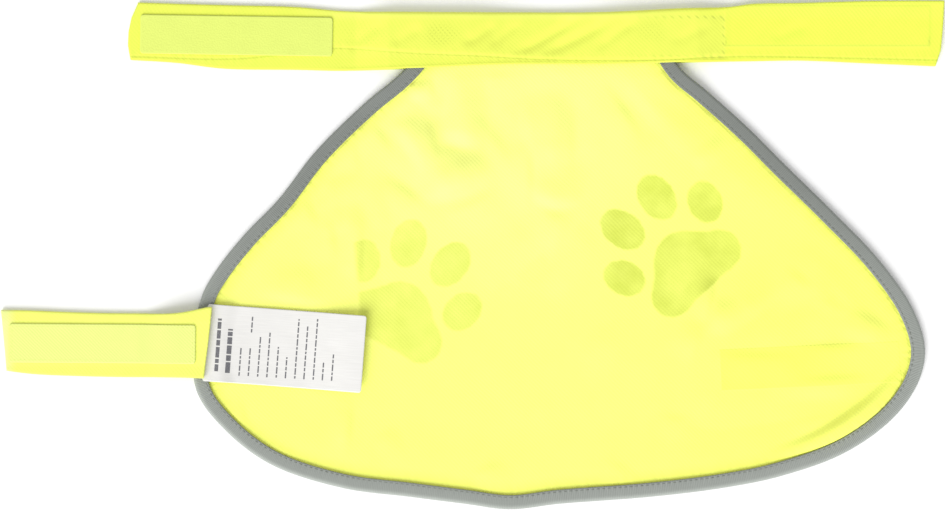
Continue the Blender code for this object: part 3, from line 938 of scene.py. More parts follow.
def wavered(bench, place, scale):
    """The place moved a little this way and that, so that a pattern on it isn't quite even."""
    drift = bench.vector("SUBTRACT", bench.noise(place, scale).outputs["Color"], (0.5, 0.5, 0.5))
    return bench.vector("ADD", place, bench.scaled(drift, WAVER))


def birdseye_knit():
    """A knit with rows of small holes on the diagonal. Height runs from 0 in a hole to 1 between them."""
    bench, given, result = new_group(
        "birdseye_knit", {"Place": VECTOR, "Pitch": FLOAT}, {"Height": FLOAT, "Hole": FLOAT}
    )
    place = wavered(bench, given["Place"], 45.0)
    turns = bench.math("DIVIDE", 2 * math.pi, given["Pitch"])
    across = bench.math("COSINE", bench.times(bench.part(place, "X"), turns))
    down = bench.math("COSINE", bench.times(bench.part(place, "Y"), turns))
    wave = bench.times(across, down)
    wire(bench, bench.math("MULTIPLY_ADD", wave, 0.5, 0.5), result["Height"])
    wire(bench, bench.rise(wave, -0.35, -0.95), result["Hole"])
    return bench.tree


def soft_mottle():
    """Uneven shade of cloth: 1 on average, up or down by Amount, in patches of about Size."""
    bench, given, result = new_group(
        "soft_mottle", {"Place": VECTOR, "Size": FLOAT, "Amount": FLOAT}, {"Shade": FLOAT}
    )
    noise = bench.noise(given["Place"], bench.math("DIVIDE", 1.0, given["Size"]), 3.0).outputs["Fac"]
    swing = bench.times(bench.math("SUBTRACT", noise, 0.5), 2.0)
    wire(bench, bench.math("MULTIPLY_ADD", swing, given["Amount"], 1.0), result["Shade"])
    return bench.tree


def yarn_grain():
    """The fine grain of spun yarn, from 0 to 1."""
    bench, given, result = new_group("yarn_grain", {"Place": VECTOR, "Size": FLOAT}, {"Height": FLOAT})
    noise = bench.noise(given["Place"], bench.math("DIVIDE", 1.0, given["Size"]), 4.0)
    wire(bench, noise.outputs["Fac"], result["Height"])
    return bench.tree


def oval(bench, place, x, y, long, short, turn):
    """How far each place is inside an oval's edge, and less than 0 outside it."""
    local = bench.local(place, x, y, turn, (long, short, 1.0))
    inside = bench.math("SUBTRACT", 1.0, bench.vector("LENGTH", local))
    return bench.times(inside, (long + short) / 2)


def thin_spot():
    """A soft oval: 1 in its middle and 0 from its edge out."""
    bench, given, result = new_group(
        "thin_spot", {"Place": VECTOR, "Centre": VECTOR, "Reach": VECTOR}, {"Mask": FLOAT}
    )
    away = bench.vector("DIVIDE", bench.vector("SUBTRACT", given["Place"], given["Centre"]), given["Reach"])
    wire(bench, bench.rise(bench.vector("LENGTH", away), 1.0, 0.3), result["Mask"])
    return bench.tree


# A paw print, seen with its toes towards +Y: four toes in mirrored pairs, and a pad of three round lobes.
Oval = namedtuple("Oval", "x y long short tilt")
TOES = [
    Oval(0.0120, 0.0399, 0.0125, 0.0091, math.radians(80)),
    Oval(0.0285, 0.0212, 0.0110, 0.0087, math.radians(68)),
]
PAD = [
    Oval(0.0000, 0.0050, 0.0170, 0.0160, math.radians(90)),
    Oval(0.0180, -0.0028, 0.0097, 0.0097, 0.0),
    Oval(-0.0180, -0.0028, 0.0097, 0.0097, 0.0),
]
PAD_BLEND = 0.018
PawPrint = namedtuple("PawPrint", "x y axis")
PAW_PRINTS = [
    PawPrint(-0.0403, -0.0349, math.radians(62.9)),
    PawPrint(0.1131, -0.0077, math.radians(133.4)),
]

# The fold that hides the side of the left paw print: a point on its line, and the line's turn from +Y.
HIDING_FOLD = (-0.0590, 0.0030, math.radians(4.5))


def paw_prints():
    """1 on the paw prints and 0 elsewhere. The hiding fold covers a share of what lies behind it."""
    settings = {"Place": VECTOR, "Softness": FLOAT, "Behind": FLOAT}
    bench, given, result = new_group("paw_prints", settings, {"Mask": FLOAT})
    place = wavered(bench, given["Place"], 260.0)
    inside = None
    for paw in PAW_PRINTS:
        local = bench.local(place, paw.x, paw.y, paw.axis - math.pi / 2)
        shapes = []
        for toe in TOES:
            shapes.append(oval(bench, local, toe.x, toe.y, toe.long, toe.short, toe.tilt))
            shapes.append(oval(bench, local, -toe.x, toe.y, toe.long, toe.short, math.pi - toe.tilt))
        lobes = [oval(bench, local, lobe.x, lobe.y, lobe.long, lobe.short, lobe.tilt) for lobe in PAD]
        pad = lobes[0]
        for lobe in lobes[1:]:
            pad = bench.math("SMOOTH_MAX", pad, lobe, PAD_BLEND)
        shapes.append(pad)
        for shape in shapes:
            inside = shape if inside is None else bench.math("MAXIMUM", inside, shape)
    edge = bench.times(given["Softness"], -1.0)
    shown = bench.part(bench.local(given["Place"], *HIDING_FOLD), "X")
    print_mask = bench.rise(inside, edge, given["Softness"])
    seen = bench.math("MAXIMUM", bench.rise(shown, -0.0026, 0.0002), given["Behind"])
    mask = bench.times(print_mask, seen)
    wire(bench, mask, result["Mask"])
    return bench.tree


def patch_below():
    """What lies under see-through cloth: Inside is 1 on the rectangle, and Edge is 1 along its outline."""
    sockets = {"Place": VECTOR, "Centre": VECTOR, "Turn": VECTOR, "Half": VECTOR, "Line": FLOAT}
    bench, given, result = new_group("patch_below", sockets, {"Inside": FLOAT, "Edge": FLOAT})
    feeds = {"Vector": given["Place"], "Location": given["Centre"], "Rotation": given["Turn"]}
    local = bench.put("ShaderNodeMapping", feeds, vector_type="TEXTURE").outputs[0]
    past = bench.vector("SUBTRACT", bench.vector("ABSOLUTE", local), given["Half"])
    away = bench.math("MAXIMUM", bench.part(past, "X"), bench.part(past, "Y"))
    wire(bench, bench.rise(away, given["Line"], 0.0), result["Inside"])
    beside = bench.math("ABSOLUTE", away)
    wire(bench, bench.rise(beside, given["Line"], 0.0), result["Edge"])
    return bench.tree


def seam_pucker():
    """Cloth drawn in by a seam: a groove on the seam, and small ridges that run away from it.
    Run goes along the seam, and Away across it."""
    sockets = {"Run": FLOAT, "Away": FLOAT, "Pitch": FLOAT, "Reach": FLOAT}
    bench, given, result = new_group("seam_pucker", sockets, {"Height": FLOAT, "Groove": FLOAT})
    beside = bench.math("DIVIDE", bench.math("ABSOLUTE", given["Away"]), given["Reach"])
    fade = bench.rise(beside, 1.0, 0.0)
    turns = bench.times(bench.math("DIVIDE", given["Run"], given["Pitch"]), 2 * math.pi)
    slow = bench.math("SINE", bench.times(turns, 0.37))
    waves = bench.math("SINE", bench.math("ADD", turns, bench.times(slow, 1.4)))
    groove = bench.rise(beside, 0.3, 0.0)
    wire(bench, groove, result["Groove"])
    ridges = bench.times(bench.times(waves, 0.5), fade)
    wire(bench, bench.math("SUBTRACT", ridges, groove), result["Height"])
    return bench.tree


def cross_ribs():
    """The fine ribs across a woven tape, 0 in the dips and 1 on top."""
    bench, given, result = new_group("cross_ribs", {"Run": FLOAT, "Pitch": FLOAT}, {"Height": FLOAT})
    turns = bench.times(bench.math("DIVIDE", given["Run"], given["Pitch"]), 2 * math.pi)
    wire(bench, bench.math("MULTIPLY_ADD", bench.math("SINE", turns), 0.5, 0.5), result["Height"])
    return bench.tree


KNIT_GROUP = birdseye_knit()
MOTTLE = soft_mottle()
GRAIN = yarn_grain()
THIN_SPOT = thin_spot()
PAWS = paw_prints()
BELOW = patch_below()
PUCKER = seam_pucker()
RIBS = cross_ribs()


# Materials. Colours are linear, as the cloth shows under the scene's light.

PANEL_YELLOW = (0.93, 0.98, 0.208, 1.0)
# PANEL_PAINTED_LIGHT: the panel's yellow, paler where light is painted on it.
PANEL_PAINTED_LIGHT = (0.93, 0.98, 0.250, 1.0)
PANEL_DEEP = (0.92, 0.97, 0.172, 1.0)
PAW_YELLOW = (0.63, 0.71, 0.095, 1.0)
# PATCH_AND_SHADE_YELLOW: the belly patch seen through the panel, and the painted shade along the binding.
PATCH_AND_SHADE_YELLOW = (0.90, 0.96, 0.136, 1.0)
STRAP_LEFT_YELLOW = (0.752, 0.830, 0.098, 1.0)
STRAP_RIGHT_YELLOW = (0.785, 0.880, 0.086, 1.0)
STRAP_OVER_STRIP = (0.760, 0.830, 0.106, 1.0)
STRAP_FOLD_YELLOW = (0.800, 0.870, 0.140, 1.0)
# MESH_AND_SHADOW_YELLOW: the deep yellow of the knit's holes and thin places, also used for the painted
# shadow beside the belly strap's patch.
MESH_AND_SHADOW_YELLOW = (0.58, 0.66, 0.080, 1.0)
BELLY_YELLOW = (0.87, 0.93, 0.176, 1.0)
BELLY_PALE = (0.80, 0.86, 0.320, 1.0)
LOOP_YELLOW = (0.69, 0.79, 0.165, 1.0)
HOOK_YELLOW = (0.775, 0.86, 0.237, 1.0)
BINDING_GREY = (0.325, 0.345, 0.320, 1.0)
BINDING_DARK = (0.225, 0.245, 0.222, 1.0)
SILVER = (0.45, 0.46, 0.47, 1.0)
SATIN_WHITE = (0.738, 0.728, 0.706, 1.0)
GREY_THREAD = (0.21, 0.225, 0.20, 1.0)
YELLOW_THREAD = (0.72, 0.81, 0.180, 1.0)
INK = (0.13, 0.13, 0.14, 1.0)
TABLE_WHITE = (0.955, 0.955, 0.955, 1.0)

# The size of one repeat of the knit, along and across it.
KNIT_PITCH = 0.0021


def new_look(name, roughness, sheen=0.0):
    """A material with its bench and its shader's inputs."""
    material = bpy.data.materials.new(name)
    material.use_nodes = True
    bench = Bench(material.node_tree)
    shader = material.node_tree.nodes["Principled BSDF"].inputs
    shader["Roughness"].default_value = roughness
    shader["Specular IOR Level"].default_value = 0.25
    shader["Sheen Weight"].default_value = sheen
    shader["Sheen Roughness"].default_value = 0.4
    return material, bench, shader


def finish_look(bench, shader, colour, *relief):
    """The colour, and the sum of the relief's heights, each times its depth in metres."""
    wire(bench, colour, shader["Base Color"])
    total = None
    for height, depth in relief:
        term = bench.times(height, depth)
        total = term if total is None else bench.math("ADD", total, term)
    if relief:
        bump = bench.put("ShaderNodeBump", {"Strength": 1.0, "Distance": 1.0, "Height": total})
        wire(bench, bump.outputs["Normal"], shader["Normal"])


def mottled(bench, colour, place, size, amount):
    return bench.shaded(colour, bench.group(MOTTLE, Place=place, Size=size, Amount=amount)["Shade"])


def soft_spot(bench, place, centre, reach):
    """1 in the middle of a soft round spot, falling to 0 round it."""
    return bench.group(THIN_SPOT, Place=place, Centre=centre, Reach=reach)["Mask"]


def show_below(bench, place, rectangle, line):
    """What shows through the cloth of a rectangle below it."""
    return bench.group(
        BELOW, Place=place, Centre=(rectangle.x, rectangle.y, 0.0), Turn=(0.0, 0.0, rectangle.turn),
        Half=(rectangle.length / 2, rectangle.width / 2, 1.0), Line=line,
    )


def knit_look(name):
    """What all the vest's knit has: its bench, its shader, its cut, its holes and the grain of its yarn."""
    material, bench, shader = new_look(name, 0.78, sheen=0.25)
    place = bench.map("cut")
    knit = bench.group(KNIT_GROUP, Place=place, Pitch=KNIT_PITCH)
    grain = bench.group(GRAIN, Place=place, Size=0.0006)
    return material, bench, shader, place, knit, grain


def panel_look(name, paw_colour, paw_share, silver):
    """The panel's knit. The paw prints show through on the inner face, and are silver on the outer one."""
    material, bench, shader, place, knit, grain = knit_look(name)
    seam = bench.map("seam")
    paws = bench.group(PAWS, Place=place, Softness=0.0009, Behind=1.0 if silver else 0.0)
    below = show_below(bench, place, BELLY_LOOP, 0.0009)
    # Painted light: the panel paler in a broad spot round its upper middle.
    painted_light_spot = soft_spot(bench, place, (0.010, 0.055, 0.0), (0.110, 0.100, 1.0))
    across = bench.part(place, "X")
    colour = bench.mix(bench.rise(across, 0.040, 0.200), PANEL_YELLOW, PANEL_DEEP)
    colour = bench.mix(painted_light_spot, colour, PANEL_PAINTED_LIGHT)
    patch_share = bench.rise(across, 0.215, 0.170, 0.25, 0.80)
    colour = bench.mix(bench.times(below["Inside"], patch_share), colour, PATCH_AND_SHADE_YELLOW)
    # Painted shade: the panel darker in a band just inside the binding.
    edge = bench.rise(bench.part(seam, "Y"), 0.016, 0.007)
    colour = bench.mix(bench.times(edge, 0.6), colour, PATCH_AND_SHADE_YELLOW)
    hole_depth = bench.math("MULTIPLY_ADD", paws["Mask"], 0.12, 0.05)
    print_share = bench.times(paws["Mask"], paw_share)
    if not silver:
        print_share = bench.times(print_share, bench.rise(across, -0.030, 0.080, 0.68, 1.0))
        unevenness = bench.group(MOTTLE, Place=place, Size=0.014, Amount=0.60)
        print_share = bench.times(print_share, unevenness["Shade"])
        pale = soft_spot(bench, place, (0.108, -0.008, 0.0), (0.020, 0.024, 1.0))
        print_share = bench.times(print_share, bench.rise(pale, 0.0, 1.0, 1.0, 0.82))
    colour = bench.mix(print_share, colour, paw_colour)
    colour = bench.mix(bench.times(knit["Hole"], hole_depth), colour, MESH_AND_SHADOW_YELLOW)
    colour = mottled(bench, colour, place, 0.016, 0.05)
    if silver:
        wire(bench, bench.rise(paws["Mask"], 0.0, 1.0, 0.78, 0.42), shader["Roughness"])
        wire(bench, bench.times(paws["Mask"], 0.35), shader["Metallic"])
    pucker = bench.group(
        PUCKER, Run=bench.part(seam, "X"), Pitch=0.0068, Reach=0.006,
        Away=bench.math("SUBTRACT", bench.part(seam, "Y"), BINDING_WIDTH),
    )
    finish_look(bench, shader, colour, (knit["Height"], 0.00007), (grain["Height"], 0.00005),
                (below["Inside"], 0.00012), (pucker["Height"], 0.00022))
    return material


# Where the neck strap's knit is stretched thin: a centre, a reach, and how thin it is.
STRAP_THIN_SPOTS = [
    ((-0.0540, 0.1125, 0.003), (0.0215, 0.0085, 1.0), 0.55),
    ((-0.0155, 0.1128, 0.003), (0.0130, 0.0085, 1.0), 1.00),
    ((0.0910, 0.1142, 0.003), (0.0120, 0.0070, 1.0), 0.60),
]


def neck_strap_look():
    material, bench, shader, place, knit, grain = knit_look("neck_strap_knit")
    spot = bench.object_place()
    seam = bench.map("seam")
    strip = show_below(bench, spot, REFLECTIVE, 0.0014)
    patch = show_below(bench, spot, NECK_HOOK, 0.0010)
    across, up = bench.part(spot, "X"), bench.part(spot, "Y")
    colour = bench.mix(bench.rise(across, 0.090, 0.140), STRAP_LEFT_YELLOW, STRAP_RIGHT_YELLOW)
    colour = bench.mix(bench.times(strip["Inside"], 0.8), colour, STRAP_OVER_STRIP)
    right_end, left_end = bench.rise(across, 0.14, 0.05, 0.15, 0.8), bench.rise(across, -0.095, -0.065)
    near_fold = bench.times(bench.times(bench.rise(up, 0.1190, 0.1230), right_end), left_end)
    colour = bench.mix(near_fold, colour, STRAP_FOLD_YELLOW)
    low_edge = bench.times(patch["Edge"], bench.rise(up, 0.1130, 0.1090, 0.0, 0.6))
    colour = bench.mix(low_edge, colour, MESH_AND_SHADOW_YELLOW)
    threads = bench.group(RIBS, Run=bench.math("ADD", across, up), Pitch=0.0042)
    show_through = bench.times(strip["Edge"], bench.rise(across, 0.070, 0.115, 0.0, 0.85))
    dots = bench.times(bench.rise(threads["Height"], 0.55, 0.95), show_through)
    colour = bench.mix(dots, colour, MESH_AND_SHADOW_YELLOW)
    stretched = bench.local(place, 0.0, 0.0, 0.0, (1.0, 1.3, 1.0))
    mesh = bench.group(KNIT_GROUP, Place=stretched, Pitch=0.0024)
    thin = None
    for centre, reach, share in STRAP_THIN_SPOTS:
        mask = bench.times(soft_spot(bench, spot, centre, reach), share)
        thin = mask if thin is None else bench.math("MAXIMUM", thin, mask)
    colour = bench.mix(bench.times(thin, 0.22), colour, MESH_AND_SHADOW_YELLOW)
    open_mesh = bench.times(mesh["Hole"], bench.times(thin, 0.75))
    colour = bench.mix(open_mesh, colour, MESH_AND_SHADOW_YELLOW)
    colour = bench.mix(bench.times(knit["Hole"], 0.04), colour, MESH_AND_SHADOW_YELLOW)
    colour = mottled(bench, colour, place, 0.010, 0.05)
    run, away = bench.part(seam, "X"), bench.part(seam, "Y")
    pucker = bench.group(PUCKER, Run=run, Away=away, Pitch=0.0050, Reach=0.0035)
    colour = bench.mix(bench.times(pucker["Groove"], 0.28), colour, MESH_AND_SHADOW_YELLOW)
    finish_look(bench, shader, colour, (knit["Height"], 0.00006), (grain["Height"], 0.00006),
                (patch["Inside"], 0.00010), (pucker["Height"], 0.00014))
    return material


def painted_shade_on_climb(bench, colour):
    """Painted shade: the cloth a little darker where the belly strap climbs onto the vest's edge."""
    spot = bench.object_place()
    climb_shade = soft_spot(bench, spot, (-0.1600, -0.0450, 0.0), (0.0150, 0.0500, 1.0))
    return bench.shaded(colour, bench.rise(climb_shade, 0.0, 1.0, 1.0, 0.93))


def belly_strap_look():
    material, bench, shader, place, knit, grain = knit_look("belly_strap_knit")
    spot = bench.object_place()
    colour = bench.mix(bench.rise(bench.part(spot, "X"), -0.2330, -0.2400), BELLY_YELLOW, BELLY_PALE)
    # Painted shadow: darker bands along the strap just above and below its hook patch.
    shadow_above_patch = bench.rise(bench.part(spot, "Y"), -0.0320, -0.0350, 0.14, 0.0)
    below = bench.rise(bench.part(spot, "Y"), -0.0555, -0.0580, 0.0, 0.20)
    colour = bench.mix(bench.math("ADD", shadow_above_patch, below), colour, MESH_AND_SHADOW_YELLOW)
    colour = bench.mix(bench.times(knit["Hole"], 0.05), colour, MESH_AND_SHADOW_YELLOW)
    colour = painted_shade_on_climb(bench, mottled(bench, colour, place, 0.010, 0.05))
    finish_look(bench, shader, colour, (knit["Height"], 0.00008), (grain["Height"], 0.00006))
    return material


def binding_look():
    """Grey ribbed tape, lighter along its fold, with painted shade that darkens it towards the neck."""
    material, bench, shader = new_look("grey_ribbed_tape", 0.6, sheen=0.15)
    place = bench.map("cut")
    ribs = bench.group(RIBS, Run=bench.part(place, "X"), Pitch=0.0009)
    grain = bench.group(GRAIN, Place=place, Size=0.0004)
    dark = bench.math("MULTIPLY_ADD", ribs["Height"], -0.30, 0.50)
    colour = bench.mix(dark, BINDING_GREY, BINDING_DARK)
    from_fold = bench.math("ABSOLUTE", bench.math("SUBTRACT", bench.part(place, "Y"), BINDING_FOLD_LINE))
    # Lighter along the fold line of the tape.
    unevenness = bench.rise(from_fold, 0.0024, 0.0004, 1.0, 1.18)
    # Painted shade: the tape darker towards the neck.
    painted_shade_up = bench.rise(bench.part(bench.object_place(), "Y"), -0.075, 0.060, 1.0, 0.68)
    colour = bench.shaded(colour, bench.times(unevenness, painted_shade_up))
    colour = mottled(bench, colour, place, 0.006, 0.06)
    finish_look(bench, shader, colour, (ribs["Height"], 0.00010), (grain["Height"], 0.00005))
    return material


def loop_look():
    """Brushed loop tape: a soft matt nap."""
    material, bench, shader = new_look("loop_tape_nap", 0.95, sheen=0.4)
    place = bench.map("cut")
    nap = bench.group(GRAIN, Place=place, Size=0.0009)
    colour = mottled(bench, LOOP_YELLOW, place, 0.012, 0.04)
    colour = bench.shaded(colour, bench.rise(nap["Height"], 0.2, 0.8, 0.97, 1.025))
    finish_look(bench, shader, colour, (nap["Height"], 0.00016))
    return material


def hook_look():
    """Hook tape: fine rows of small hooks on a smooth ground."""
    material, bench, shader = new_look("hook_tape_rows", 0.7, sheen=0.1)
    place = bench.map("cut")
    hooks = bench.group(KNIT_GROUP, Place=place, Pitch=0.0018)
    grain = bench.group(GRAIN, Place=place, Size=0.0005)
    colour = bench.mix(bench.times(hooks["Hole"], 0.05), HOOK_YELLOW, MESH_AND_SHADOW_YELLOW)
    colour = painted_shade_on_climb(bench, mottled(bench, colour, place, 0.012, 0.03))
    finish_look(bench, shader, colour, (hooks["Height"], 0.00010), (grain["Height"], 0.00006))
    return material


def satin_look():
    """White satin ribbon: fine threads along it, a soft gloss and a few light waves."""
    material, bench, shader = new_look("label_satin", 0.45, sheen=0.1)
    place = bench.map("cut")
    stretched = bench.local(place, 0.0, 0.0, 0.0, (0.012, 0.0006, 1.0))
    threads = bench.noise(stretched, 1.0, 3.0).outputs["Fac"]
    colour = mottled(bench, SATIN_WHITE, place, 0.020, 0.03)
    colour = bench.shaded(colour, bench.rise(threads, 0.3, 0.7, 0.97, 1.02))
    waves = bench.noise(place, 60.0, 1.0).outputs["Fac"]
    finish_look(bench, shader, colour, (threads, 0.00003), (waves, 0.00040))
    return material


def strip_look():
    """Silver reflective tape: tiny glass beads on grey cloth."""
    material, bench, shader = new_look("reflective_beads", 0.4)
    shader["Metallic"].default_value = 0.35
    place = bench.map("cut")
    beads = bench.group(GRAIN, Place=place, Size=0.0003)
    colour = mottled(bench, SILVER, place, 0.008, 0.06)
    colour = bench.shaded(colour, bench.rise(beads["Height"], 0.3, 0.7, 0.85, 1.1))
    finish_look(bench, shader, colour, (beads["Height"], 0.00003))
    return material


def thread_look(name, colour):
    """Twisted sewing thread."""
    material, bench, shader = new_look(name, 0.6, sheen=0.1)
    place = bench.object_place()
    twist = bench.group(GRAIN, Place=place, Size=0.00025)
    shade = bench.rise(twist["Height"], 0.3, 0.7, 0.8, 1.15)
    finish_look(bench, shader, bench.shaded(colour, shade), (twist["Height"], 0.00004))
    return material


def ink_look():
    """Printing ink that has sunk a little into the satin."""
    material, bench, shader = new_look("label_ink", 0.55)
    grain = bench.group(GRAIN, Place=bench.object_place(), Size=0.0004)
    finish_look(bench, shader, bench.shaded(INK, bench.rise(grain["Height"], 0.3, 0.7, 0.8, 1.6)))
    return material


def table_look():
    """The plain pale surface that the vest lies on."""
    material, bench, shader = new_look("pale_table", 0.9)
    finish_look(bench, shader, mottled(bench, TABLE_WHITE, bench.object_place(), 0.30, 0.006))
    return material


# The camera, straight over the vest, and soft studio light

PHOTO_WIDTH = 0.4848
LENS = 100.0
SENSOR = 36.0
CAMERA_Y = -0.0003
TABLE_HALF = 1.5
TABLE_DROP = 0.0003


def add_camera():
    data = bpy.data.cameras.new("photo_view")
    data.lens = LENS
    data.sensor_width = SENSOR
    data.sensor_fit = "HORIZONTAL"
    camera = put_in_scene("photo_view", data)
    camera.location = (0.0, CAMERA_Y, PHOTO_WIDTH * LENS / SENSOR)
    bpy.context.scene.camera = camera


def add_sun(name, azimuth, elevation, angle, strength):
    """Soft light from far off: azimuth is where it comes from, from +X towards +Y."""
    data = bpy.data.lights.new(name, "SUN")
    data.angle = math.radians(angle)
    data.energy = strength
    sun = put_in_scene(name, data)
    turn, lift = math.radians(azimuth), math.radians(elevation)
    towards = Vector((math.cos(turn) * math.cos(lift), math.sin(turn) * math.cos(lift), math.sin(lift)))
    sun.rotation_euler = towards.to_track_quat("Z", "Y").to_euler()


def add_world(strength):
    world = bpy.data.worlds.new("white_studio")
    world.use_nodes = True
    background = world.node_tree.nodes["Background"].inputs
    background["Color"].default_value = (1.0, 1.0, 1.0, 1.0)
    background["Strength"].default_value = strength
    bpy.context.scene.world = world


def add_table():
    grid = bmesh.new()
    bmesh.ops.create_grid(grid, x_segments=4, y_segments=4, size=TABLE_HALF)
    bmesh.ops.translate(grid, verts=grid.verts, vec=(0.0, 0.0, -TABLE_DROP))
    table = new_piece("table", grid, [table_look()])


# The pieces

def add_panel():
    """The panel, with its inner face up."""
    def cut(u, v, points):
        return points[:, :2]

    def seam(points):
        away, run = nearest_on(OUTLINE, points[:, 0], points[:, 1])
        return np.column_stack([run, away])

    outer = panel_look("panel_outer_knit", SILVER, 1.0, True)
    inner = panel_look("panel_inner_knit", PAW_YELLOW, 0.85, False)
    panel = add_cloth("panel_sheet", PANEL_GRID, panel_place, cut, KNIT, [inner, outer], closer_at_ends, seam)
    dress(panel, "back_panel")
    inset_edge = OUTLINE + PANEL_INSET * inward(OUTLINE)
    float(area_inside(inset_edge))


def binding_line(depth, over):
    """A line along the binding's outer face, at a depth from the vest's edge, over or under the panel."""
    flat = (BINDING_WIDTH - depth) / (BINDING_WIDTH - PLY - BINDING_RADIUS)
    v = 1.0 - flat * BINDING_SHARES[1] if over else flat * BINDING_SHARES[0]
    u = np.linspace(0.0, 1.0, BINDING_LINE_POINTS)
    points = binding_place(u, np.full_like(u, v))
    points[:, 2] += (1 if over else -1) * (PLY + TAPE) / 2
    return points


def add_binding(grey_thread):
    length = run_of(OUTLINE)[-1]

    def cut(u, v, points):
        across = across_fold(v, *BINDING_SHARES, BINDING_FLAT_PLY, BINDING_RADIUS)
        return np.column_stack([u * length, across])

    def place(u, v):
        """The tape is drawn down at each stitch."""
        points = binding_place(u, v)
        flat, turn = fold_section(v, *BINDING_SHARES)
        depth = BINDING_WIDTH - flat * BINDING_FLAT_PLY
        beside = np.exp(-(((depth - BINDING_STITCH_DEPTH) / STITCH_DIP_REACH) ** 2))
        beat = 0.55 + 0.45 * np.cos(2 * math.pi * u * length / BINDING_PITCH)
        points[:, 2] -= STITCH_DIP * beside * beat * (turn >= math.pi)
        return points

    tape = add_cloth("binding_tape_fold", BINDING_GRID, place, cut, TAPE, [binding_look()])
    dress(tape, "edge_binding")
    for name, over in (("binding_stitches_over", True), ("binding_stitches_under", False)):
        line = binding_line(BINDING_STITCH_DEPTH, over)
        line[:, 2] += -OVER_SINK if over else UNDER_SINK
        stitch_row(name, line, BINDING_PITCH, BINDING_STITCH, grey_thread)


def add_strap(name, node, columns, place, look, left, right, edges):
    """A strap folded lengthwise, drawn with its inner faces on the model's."""
    length = right - left
    width = float(np.mean(edges[0][:, 1] - edges[1][:, 1])) - PLY

    def cut(u, v, points):
        across = across_fold(v, *STRAP_SHARES, width, 2 * PLY)
        return np.column_stack([u * length, across])

    def seam(points):
        x, y, _ = points.T
        return np.column_stack([x, y - height_on(NECK_SEAM_PATH, x)])

    strap = add_cloth(name, (columns, STRAP_ROWS), place, cut, KNIT, [look], None, seam)
    dress(strap, node)


def patch_border(rectangle, under, inset, thickness):
    """The line of the stitches round a patch, on its upper face."""
    half_length, half_width = rectangle.length / 2 - inset, rectangle.width / 2 - inset
    corners = [(-1, -1), (1, -1), (1, 1), (-1, 1), (-1, -1)]
    path = np.array([(sx * half_length, sy * half_width) for sx, sy in corners])
    even = along(path, np.linspace(0.0, 1.0, BORDER_LINE_POINTS))
    x, y = on_rectangle(rectangle, *even.T)
    z = under(0.5 + even[:, 0] / rectangle.length, x, y) + (PLY + thickness) / 2
    return np.column_stack([x, y, z])


def add_patch(name, node, rectangle, carrier, look, thread, sink=0.0):
    """A closure tape, sunk onto the thin cloth that carries it."""
    def under(u, x, y):
        return carrier(u, x, y) - sink

    place = rectangle_place(rectangle, under, PATCH_CORNER)
    patch = add_cloth(name, PATCH_GRID, place, rectangle_cut(rectangle), NAP, [look], closer_at_ends)
    dress(patch, node)
    line = patch_border(rectangle, under, PATCH_SEAM_INSET, NAP)
    line[:, 2] -= PATCH_STITCH_SINK
    stitch_row(name + "_stitches", line, PATCH_PITCH, PATCH_STITCH, thread)


def add_strip(look, thread):
    """The reflective strip, sewn on the neck strap's outer face, which is its underside here."""
    def under(u, x, y):
        return neck_floor(x) - STRIP_DROP + (PLY - KNIT) / 2

    place = rectangle_place(REFLECTIVE, under, STRIP_CORNER)
    strip = add_cloth("reflective_strip", STRIP_GRID, place, rectangle_cut(REFLECTIVE), STRIP, [look])
    dress(strip, None)
    line = patch_border(REFLECTIVE, under, STRIP_SEAM_INSET, STRIP_STITCH_LIFT - PLY)
    stitch_row("strip_stitches_under", line, PATCH_PITCH, STRIP_STITCH, thread)


def add_label(look):
    place = rectangle_place(LABEL, on_panel, LABEL_CORNER)
    label = add_cloth("label_ribbon", LABEL_GRID, place, rectangle_cut(LABEL), SATIN, [look], closer_at_ends)
    dress(label, "care_label")


# Rows of plain dashes on the label: the distance from its left end, where the row starts and how long
# it is from the label's lower edge, and the height of its dashes.
DashRow = namedtuple("DashRow", "x start length height")
DASH_ROWS = in_metres(DashRow, [
    (6.8, 5.5, 27, 1.9),
    (12.5, 5, 22.5, 2.4),
    (18.5, 4, 14.4, 0.7),
    (23.2, 4.2, 15.1, 0.7),
    (23.2, 26.5, 8.6, 0.7),
    (28, 4.2, 21.4, 0.7),
    (32.7, 4.2, 22.9, 0.7),
    (37.5, 4.4, 15.7, 0.7),
    (42.2, 4.4, 10.8, 0.7),
    (47, 4.6, 30.5, 0.7),
    (51.7, 4.6, 27.7, 0.7),
    (56.5, 4.8, 32, 0.7),
    (61.2, 4.8, 9.1, 0.7),
    (66, 5, 13.5, 0.7),
])
DASH_LENGTHS = [0.0022, 0.0013, 0.0034, 0.0018, 0.0027]
DASH_GAP = 0.0007
SHORTEST_DASH = 0.0006
TALL_ROW = 0.001
TALL_ROW_SCALE = 1.6
INK_LIFT = 0.00003
INK_FILM = 0.00002


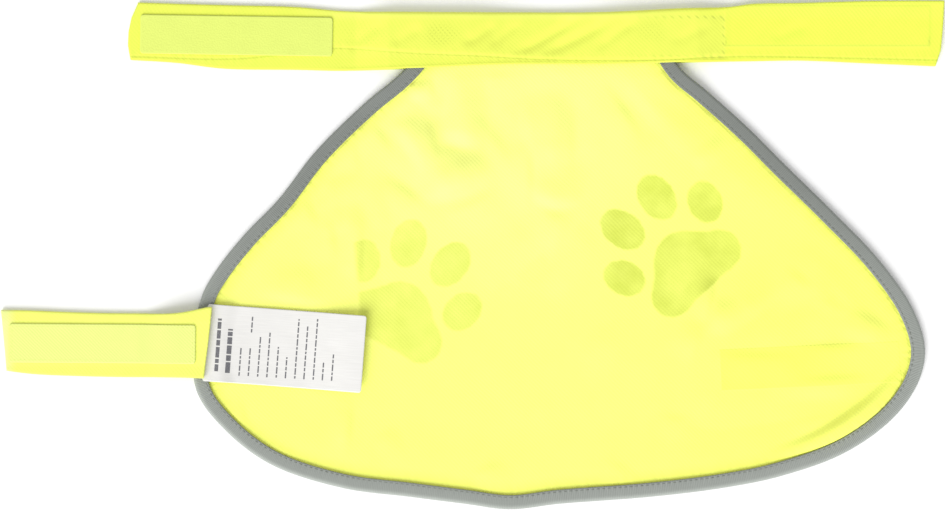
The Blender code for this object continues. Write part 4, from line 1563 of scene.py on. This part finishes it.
def add_dashes(look):
    """Thin bars that follow the label's face."""
    place = rectangle_place(LABEL, on_panel, LABEL_CORNER)
    ink = bmesh.new()
    turn = 0
    for row in DASH_ROWS:
        at = row.start
        while at < row.start + row.length - SHORTEST_DASH:
            dash = DASH_LENGTHS[turn % len(DASH_LENGTHS)] * (TALL_ROW_SCALE if row.height > TALL_ROW else 1.0)
            dash = min(dash, row.start + row.length - at)
            made = bmesh.ops.create_grid(ink, x_segments=1, y_segments=4, size=0.5)["verts"]
            local = np.array([vert.co[:2] for vert in made]) + 0.5
            u = (row.x + (local[:, 0] - 0.5) * row.height) / LABEL.length
            v = (at + local[:, 1] * dash) / LABEL.width
            points = place(u, v)
            points[:, 2] += (PLY + SATIN) / 2 + INK_LIFT
            for vert, point in zip(made, points):
                vert.co = point
            at += dash + DASH_GAP
            turn += 1
    dashes = new_piece("label_dashes", ink, [look])
    thicken = dashes.modifiers.new("film", "SOLIDIFY")
    thicken.thickness = INK_FILM
    thicken.offset = 1.0
    dress(dashes, None)


def main():
    add_camera()
    add_sun("key_light", azimuth=243, elevation=34, angle=50, strength=3.15)
    add_world(strength=0.68)
    bpy.context.scene.view_settings.view_transform = "Standard"
    add_table()
    grey_thread = thread_look("grey_thread", GREY_THREAD)
    yellow_thread = thread_look("yellow_thread", YELLOW_THREAD)
    add_panel()
    add_binding(grey_thread)
    add_strap("neck_strap_fold", "neck_strap", 420, neck_strap_place, neck_strap_look(),
              NECK_STRAP_LEFT, RIGHT_END, (NECK_TOP_PATH, NECK_BOTTOM_PATH))
    add_strap("belly_strap_fold", "belly_strap", 150, belly_strap_place, belly_strap_look(),
              LEFT_END, BELLY_STRAP_RIGHT, (BELLY_TOP_PATH, BELLY_BOTTOM_PATH))
    loop, hook = loop_look(), hook_look()
    add_patch("neck_loop_nap", "neck_loop_patch", NECK_LOOP, on_neck_strap, loop,
              yellow_thread, PATCH_SINK)
    add_patch("neck_hook_rows", "neck_hook_patch", NECK_HOOK, on_surface, hook,
              yellow_thread)
    add_patch("belly_hook_rows", "belly_hook_patch", BELLY_HOOK, on_belly_strap, hook,
              yellow_thread, PATCH_SINK)
    add_patch("belly_loop_nap", "belly_loop_patch", BELLY_LOOP, on_surface, loop,
              yellow_thread)
    add_strip(strip_look(), grey_thread)
    add_label(satin_look())
    add_dashes(ink_look())


main()
